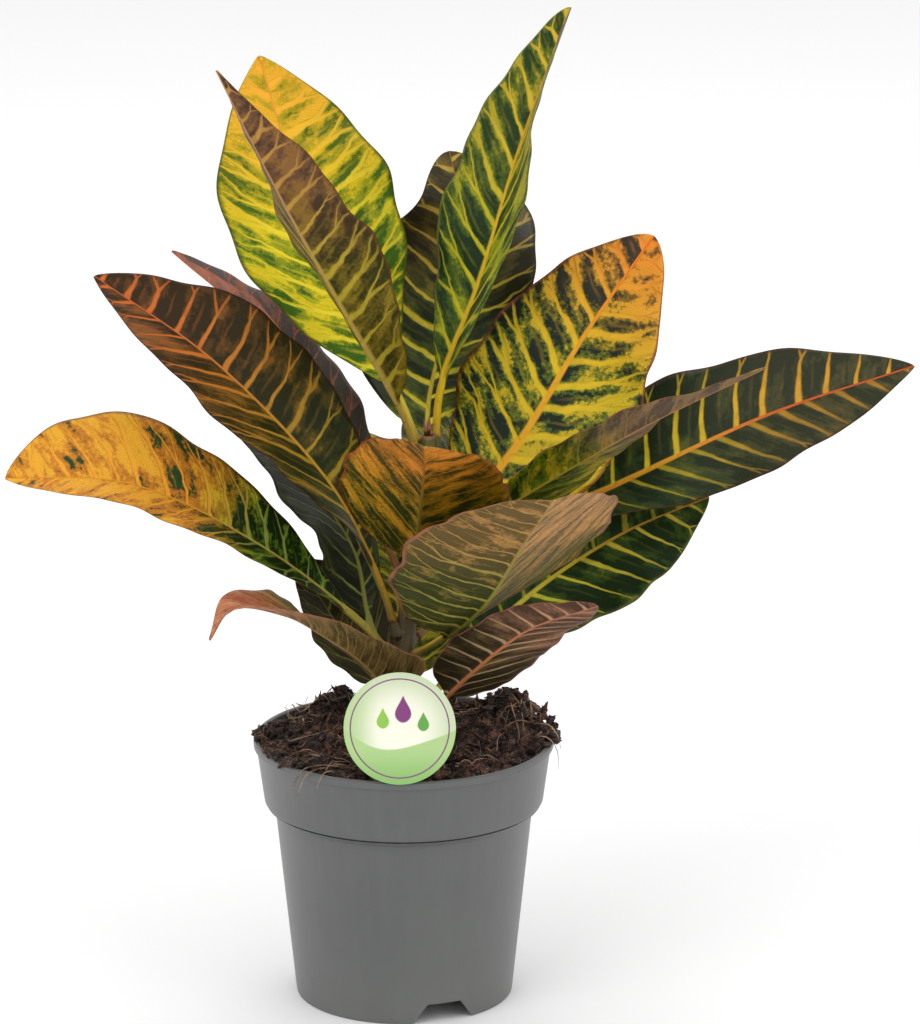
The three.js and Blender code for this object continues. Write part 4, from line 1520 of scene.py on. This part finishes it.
# Each leaf: name, slot, height of its seat, stalk, route from stalk to tip; half widths, their widest
# places and ends; roll, fold, cup and wave; its faces; then the run of its veins.
LEAVES = [
    Leaf("top_yellow", "leaf_yellow", 226, 22,
        ((-2, 9, 244), (-22, 22, 279), (-42, 38, 324), (-57, 50, 372)), (33, 35), (0.57, 0.55), (1, 0.85),
        (-45, -45), (6, 6), 4, (1.5, 3),
        Face(((60, 98, 20), (104, 114, 26)), ((142, 152, 26), (190, 160, 36)),
            ((224, 200, 34), (242, 178, 50)), ((234, 212, 54), (244, 174, 58)),
            ((206, 186, 76), (236, 150, 62)), (104, 116, 40), 0.38, 0.42, tip_cover=0.32, right_cover=-0.06,
            rim=0.22, halo=0.8, grit=0.6, vein_width=1.5),
        spacing=10.5, slant=(0.7, 0.2), turn=(0.45, 0.95), between=0.3, seed=1.3),
    Leaf("top_brown_back", "leaf_brown", 224, 22,
        ((-2, -9, 246), (-22, -20, 285), (-42, -32, 325), (-69, -45, 383)), (30, 30), (0.5, 0.5),
        (0.8, 1.1), (0, 0), (30, 12), 0, (1, 3),
        lower=Face(((56, 54, 18), (76, 50, 44)), ((98, 84, 26), (106, 72, 54)),
            ((138, 118, 38), (142, 98, 58)), ((180, 160, 56), (182, 134, 72)),
            ((178, 150, 80), (180, 134, 104)), (130, 80, 50), 0.4, 0.36, halo=0.4, vein_width=1.3,
            rib_width=1.5, rough=0.52),
        spacing=10.5, slant=(0.45, 0.45), arch=0.01, between=0.15, seed=2.1),
    Leaf("top_tall", "leaf_green", 228, 20, ((15, 9, 247), (30, 25, 285), (46, 40, 336), (66, 52, 391)),
        (25.5, 38), (0.52, 0.75), (0.9, 0.64), (0, 0), (20, 32), 0, (1, 3),
        Face(((22, 50, 16), (34, 60, 20)), ((64, 92, 24), (90, 104, 28)), ((158, 166, 32), (186, 168, 42)),
            ((206, 190, 42), (214, 180, 52)), ((224, 184, 44), (214, 156, 54)), (150, 150, 70), 0.24, 0.3,
            right_cover=0.14, halo=0.7, grit=0.5, vein_width=1.7, rib_width=1.6),
        spacing=13, slant=(0.9, 0.9), between=0.12, seed=3.4),
    Leaf("top_dark", "leaf_dark", 217, 14, ((10, 28, 236), (18, 61, 266), (24, 80, 298), (18, 90, 326)),
        (37, 34), (0.44, 0.57), (0.75, 0.6), (0, 0), (5, 5), 0, (1.5, 3),
        Face(((34, 46, 24), (54, 50, 38)), ((66, 82, 30), (84, 74, 42)), ((128, 132, 44), (124, 100, 52)),
            ((226, 206, 62), (196, 164, 76)), ((206, 180, 60), (160, 114, 66)), (84, 60, 52), 0.28, 0.25,
            halo=0.55, grit=0.4, vein_width=1.55),
        spacing=12, slant=(0.5, 0.3), between=0.05, fork=0.6, seed=4.2),
    Leaf("right_orange", "leaf_orange", 190, 12, ((18, 2, 193), (43, 8, 221), (72, 20, 266), (99, 28, 304)),
        (35.4, 38.5), (0.42, 0.4), (0.62, 0.65), (45, 45), (4, 4), 4, (1.2, 3),
        Face(((20, 36, 30), (58, 50, 40)), ((92, 110, 32), (142, 92, 44)), ((216, 184, 42), (242, 152, 54)),
            ((230, 194, 44), (240, 142, 56)), ((238, 172, 46), (238, 122, 48)), (166, 90, 66), 0.14, 0.24,
            tip_cover=0.16, right_cover=0.28, halo=0.85, grit=1.1, patch=3.3, streak=0.8, vein_width=1.6,
            rib_width=1.8),
        spacing=11.5, slant=(0.5, 0.45), turn=(0.5, 1.0), between=0.15, seed=5.7),
    Leaf("right_long", "leaf_dark", 172, 30, ((26, 4, 183), (82, 14, 205), (144, 16, 234), (201, 8, 256)),
        (30.5, 25), (0.45, 0.6), (1.5, 0.8), (55, 55), (6, 12), 0, (1.5, 3),
        Face(((26, 42, 22), (44, 48, 32)), ((48, 64, 32), (68, 66, 42)), ((84, 92, 36), (100, 80, 40)),
            ((214, 190, 46), (208, 150, 52)), ((224, 158, 46), (198, 88, 48)), (92, 54, 50), 0.16, 0.16,
            right_cover=0.12, grit=0.4, vein_width=1.35, rib_width=1.35),
        spacing=13, slant=(0.3, 0.85), between=0.06, wander=0.5, fork=0.74, faint=(0, 0.5), seed=6.1),
    Leaf("right_brown_back", "leaf_brown", 181, 22,
        ((21, -16, 193), (59, -34, 222.5), (95, -46, 247), (139, -52, 270)), (24, 15), (0.3, 0.5),
        (1.3, 1.1), (-40, -20), (14, 14), 0, (1, 3),
        lower=Face(((40, 58, 22), (84, 66, 56)), ((92, 112, 26), (118, 92, 66)),
            ((190, 160, 36), (140, 108, 78)), ((150, 144, 60), (138, 104, 80)),
            ((176, 152, 62), (172, 116, 86)), (160, 92, 72), 0.44, 0.4, halo=0.4, vein_show=0.8,
            rough=0.52),
        spacing=11, slant=(0.8, 0.8), turn=(0.36, 0.62), between=0.2, seed=7.9),
    Leaf("low_right_dark", "leaf_dark", 113, 26,
        ((14, 4, 125), (48, 14, 158.5), (86, 22, 183), (122, 26, 198)), (30, 28.5), (0.55, 0.62),
        (0.8, 0.8), (50, 50), (8, 8), 0, (1, 3),
        Face(one(26, 46, 22), one(54, 76, 30), one(106, 120, 44), ((210, 202, 66), (202, 182, 66)),
            ((208, 190, 64), (192, 142, 56)), (110, 110, 50), 0.16, 0.16, grit=0.5, vein_width=1.25,
            rib_width=1.2),
        spacing=12, slant=(0.3, 0.6), between=0.06, wander=0.55, fork=0.66, faint=(0.55, 0), seed=8.3),
    Leaf("front_orange_back", "leaf_orange", 163, 22,
        ((5, -18, 182), (7, -45, 210), (9, -80, 237), (9, -108, 253)), (34, 34), (0.35, 0.33), (0.6, 0.7),
        (-8, -12), (16, 16), 4, (1, 3),
        lower=Face(((46, 58, 18), (80, 64, 22)), ((132, 108, 28), (168, 108, 34)),
            ((210, 150, 40), (222, 136, 46)), ((184, 130, 38), (196, 118, 46)),
            ((144, 124, 48), (156, 90, 48)), (176, 82, 56), 0.36, 0.46, right_cover=-0.14, halo=0.4,
            grit=0.9, patch=3.4, streak=0.5, vein_show=0.8, rough=0.48),
        slant=(0.25, 1.2), between=0.2, seed=9.6),
    Leaf("front_tan_back", "leaf_brown", 142, 20,
        ((14, -14, 150), (31, -38, 171), (46, -68, 204), (57, -96, 229)), (51, 44), (0.43, 0.48),
        (0.7, 0.55), (0, 0), (14, 12), 4, (1, 3),
        lower=Face(((58, 62, 28), (106, 84, 50)), ((104, 96, 46), (166, 122, 76)),
            ((182, 118, 54), (208, 148, 98)), ((158, 146, 76), (184, 140, 90)),
            ((142, 136, 62), (166, 132, 78)), (188, 120, 108), 0.36, 0.5, right_cover=-0.42, halo=0.2,
            grit=0.8, vein_width=0.7, vein_show=0.9, rib_width=1.2, rough=0.52),
        spacing=8.5, slant=(1.5, 0.15), between=0.25, seed=10.2),
    Leaf("low_right_pink_back", "leaf_maroon", 114, 18,
        ((13, -8, 121), (28, -24, 141), (50, -46, 165), (75, -64, 179)), (16, 15), (0.4, 0.25), (0.45, 0.6),
        (-50, -50), (12, 0), 4, (1, 3), DARK_TOP,
        Face(((46, 38, 26), (80, 56, 46)), ((70, 54, 38), (114, 78, 68)), ((106, 82, 58), (154, 108, 92)),
            ((162, 140, 114), (184, 140, 122)), ((184, 112, 78), (182, 112, 92)), (184, 104, 104), 0.3,
            0.42, right_cover=-0.1, halo=0.3, grit=0.5, vein_width=0.9, rough=0.5),
        spacing=8.5, slant=(1.7, -0.4), between=0.08, wander=0.5, fork=0.95, seed=11.5),
    Leaf("low_left_curled", "leaf_brown", 118, 14,
        ((-13, -20, 141), (-31, -40, 161), (-45, -50, 171.5), (-65.5, -58, 176), (-74, -60, 164)), (25, 24),
        (0.17, 0.45), (0.6, 1.0), (0, 0), (12, 12), 4, (1, 2),
        Face(((60, 64, 34), (150, 84, 66)), ((96, 92, 48), (180, 112, 86)),
            ((150, 140, 70), (202, 140, 110)), ((160, 140, 76), (196, 96, 72)),
            ((170, 140, 80), (190, 96, 76)), (204, 100, 84), 0.4, 0.5, vein_width=0.5),
        Face(((66, 52, 32), (140, 88, 66)), ((100, 80, 48), (172, 108, 84)),
            ((130, 104, 66), (196, 128, 100)), ((152, 128, 82), (176, 110, 84)),
            ((156, 126, 82), (186, 106, 86)), (180, 110, 88), 0.4, 0.5, halo=0.35, vein_width=0.45,
            vein_show=0.9, rough=0.5),
        spacing=5.5, slant=(1.1, 1.1), turn=(0.5, 0.8), seed=12.4),
    Leaf("left_long", "leaf_maroon", 155, 24,
        ((-8, -4, 168), (-27, -10, 210), (-72, -14, 262), (-119, -14, 297)), (29, 31), (0.5, 0.5),
        (0.9, 0.8), (-30, -40), (14, 20), 0, (1, 3),
        Face(((32, 42, 14), (56, 40, 26)), ((62, 62, 22), (92, 58, 34)), ((128, 98, 34), (138, 84, 46)),
            ((164, 140, 46), (206, 106, 54)), ((192, 148, 50), (204, 106, 66)), (80, 44, 38), 0.4, 0.4,
            right_cover=-0.24, halo=0.45, grit=0.5, vein_width=1.3, vein_show=1.35, rib_width=1.1),
        spacing=12, slant=(1.2, 0.05), turn=(0.2, 0.9), between=0.15, wander=0.8, fork=0.55,
        faint=(0, 0.25), seed=13.8),
    Leaf("left_thin", "leaf_maroon", 166, 24,
        ((-3, 12, 174), (-27, 26, 221), (-56, 36, 264), (-92, 42, 295)), (20, 23), (0.5, 0.5), (0.9, 0.85),
        (10, 10), (30, 30), 0, (1, 3),
        Face(((70, 66, 62), (92, 84, 92)), ((104, 76, 66), (150, 98, 88)), ((140, 88, 74), (190, 108, 92)),
            ((170, 100, 84), (206, 104, 84)), ((134, 92, 56), (222, 92, 70)), (140, 98, 92), 0.6, 0.7,
            right_cover=-0.6, halo=0.2, vein_width=0.7, vein_show=0.8, rib_width=1.7),
        Face(((84, 60, 50), (122, 76, 66)), ((98, 68, 56), (154, 98, 84)), ((116, 80, 64), (182, 108, 90)),
            ((140, 96, 72), (196, 106, 86)), ((134, 92, 56), (222, 88, 66)), (140, 98, 92), 0.5, 0.6,
            halo=0.2, vein_width=0.6, rib_width=1.4, rough=0.5),
        spacing=12, between=0.2, seed=14.1),
    Leaf("left_yellow", "leaf_yellow", 141, 24,
        ((-17, -5, 155), (-58, -14, 190), (-106, -22, 216), (-154, -28, 220)), (19.5, 28.3), (0.58, 0.74),
        (1.0, 0.7), (-50, -50), (36, 5), 0, (1.2, 3),
        Face(((22, 42, 16), (44, 72, 42)), ((84, 116, 28), (202, 126, 46)),
            ((150, 180, 34), (238, 174, 56)), ((138, 152, 78), (238, 162, 56)),
            ((176, 162, 80), (220, 150, 58)), (176, 124, 56), 0.1, 0.6, rim=0.1, halo=0.35, vein_width=0.9),
        slant=(0.8, 0.5), turn=(0.3, 0.55), between=0.2, seed=15.9),
    Leaf("left_dark", "leaf_dark", 135, 20,
        ((-13, 11, 148), (-20, 20, 177), (-40, 23, 206), (-73, 26, 236)), (32, 14), (0.5, 0.5), (0.9, 1),
        (-20, -20), (15, 15), 0, (1, 3),
        Face(one(38, 42, 34), one(54, 60, 42), one(78, 86, 52), one(136, 146, 80), one(152, 150, 80),
            (90, 84, 66), 0.3, 0.3, halo=0.3, vein_width=0.75),
        spacing=10, slant=(0.9, 0.9), between=0.15, seed=16.6),
    Leaf("low_left_dark", "leaf_dark", 116, 12, ((-10, 6, 124), (-24, 12, 144), (-44, 20, 175)), (18, 26),
        (0.5, 0.5), (0.5, 1), (-20, -20), (15, 15), 0, (1, 2),
        Face(one(46, 44, 28), one(66, 62, 36), one(88, 80, 46), one(128, 118, 66), one(142, 126, 74),
            (84, 70, 52), 0.3, 0.3, halo=0.3, vein_width=0.6),
        spacing=8, slant=(0.9, 0.9), between=0.2, seed=17.2),
    Leaf("back_middle", "leaf_green", 118, 10, ((0, 16, 126), (-2, 34, 144), (-6, 66, 172)), (30, 30),
        (0.5, 0.5), (0.6, 1), (0, 0), (12, 12), 0, (1, 3), seed=18.4),
    Leaf("back_upper_right", "leaf_green", 208, 14, ((15, 22, 210), (42, 60, 228), (76, 95, 246)), (34, 27),
        (0.4, 0.5), (0.5, 1), (0, 0), (12, 12), 0, (1, 3), seed=19.5),
    Leaf("back_right", "leaf_dark", 146, 22, ((18, 20, 153), (47, 60, 171), (89, 95, 191)), (28, 28),
        (0.5, 0.5), (0.9, 1), (0, 0), (12, 12), 0, (1, 3), DARK_TOP, seed=20.3),
    Leaf("back_left", "leaf_green", 175, 22, ((2, 26, 179), (-10, 62, 196), (-28, 92, 210)), (26, 26),
        (0.5, 0.5), (0.9, 1), (0, 0), (12, 12), 0, (1, 3), seed=21.8),
]


@dataclass
class Studio:
    """Pale floor, soft lights and the camera at the photograph's angle, in metres."""

    eye: tuple[float, float, float] = (0.02247, -1.9, 0.7125)
    down: float = 15.13
    lens: float = 175.43
    aim: tuple[float, float, float] = (0, 0, 0.2)
    lamp_size: float = 1.4
    lamps: tuple = (((-1.1, -1.5, 1.9), 15.5), ((1.6, -1.1, 1.3), 6.5), ((0.2, 1.2, 2.0), 11))
    sky: float = 0.97

    def camera(self) -> None:
        """Long lens from the front, a little above."""
        turn = (math.radians(90 - self.down), 0, 0)
        camera = made(bpy.ops.object.camera_add, location=self.eye, rotation=turn)
        camera.data.lens = self.lens
        camera.data.sensor_width = 36
        camera.data.sensor_fit = "AUTO"
        camera.data.dof.use_dof = False
        bpy.context.scene.camera = camera

    def lamp(self, place: Sequence[float], power: float) -> None:
        """Square soft light aimed at the plant.

        Args:
            place: Where it stands.
            power: Its power in watts.
        """
        turn = (Vector(self.aim) - Vector(place)).to_track_quat("-Z", "Y").to_euler()
        lamp = made(bpy.ops.object.light_add, type="AREA", location=place, rotation=turn).data
        lamp.size = self.lamp_size
        lamp.energy = power

    def floor(self) -> None:
        """Pale floor far past the view."""
        floor = made(bpy.ops.mesh.primitive_plane_add, size=12, location=(0, 0, 0))
        floor.name = "floor"
        shade = Shade("pale_floor")
        shade.finish((0.86, 0.86, 0.86), 0.9)
        floor.data.materials.append(shade.material)

    def build(self) -> None:
        """Sets up the studio."""
        self.camera()
        for place, power in self.lamps:
            self.lamp(place, power)
        self.floor()
        world = bpy.data.worlds.new("studio")
        world.use_nodes = True
        back = world.node_tree.nodes["Background"]
        back.inputs["Color"].default_value = (1, 1, 1, 1)
        back.inputs["Strength"].default_value = self.sky
        bpy.context.scene.world = world
        bpy.context.scene.view_settings.view_transform = "Standard"


def keep_size() -> None:
    """Updates the view layer."""
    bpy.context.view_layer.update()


def main() -> None:
    """Builds every piece in order."""
    logging.basicConfig(level=logging.INFO, format="%(message)s")
    Studio().build()
    stem = Stem()
    Pot().build()
    Soil().build()
    Label().build()
    stem.build(LEAVES)
    for leaf in LEAVES:
        leaf.build(stem)
    keep_size()


if __name__ == "__main__":
    main()
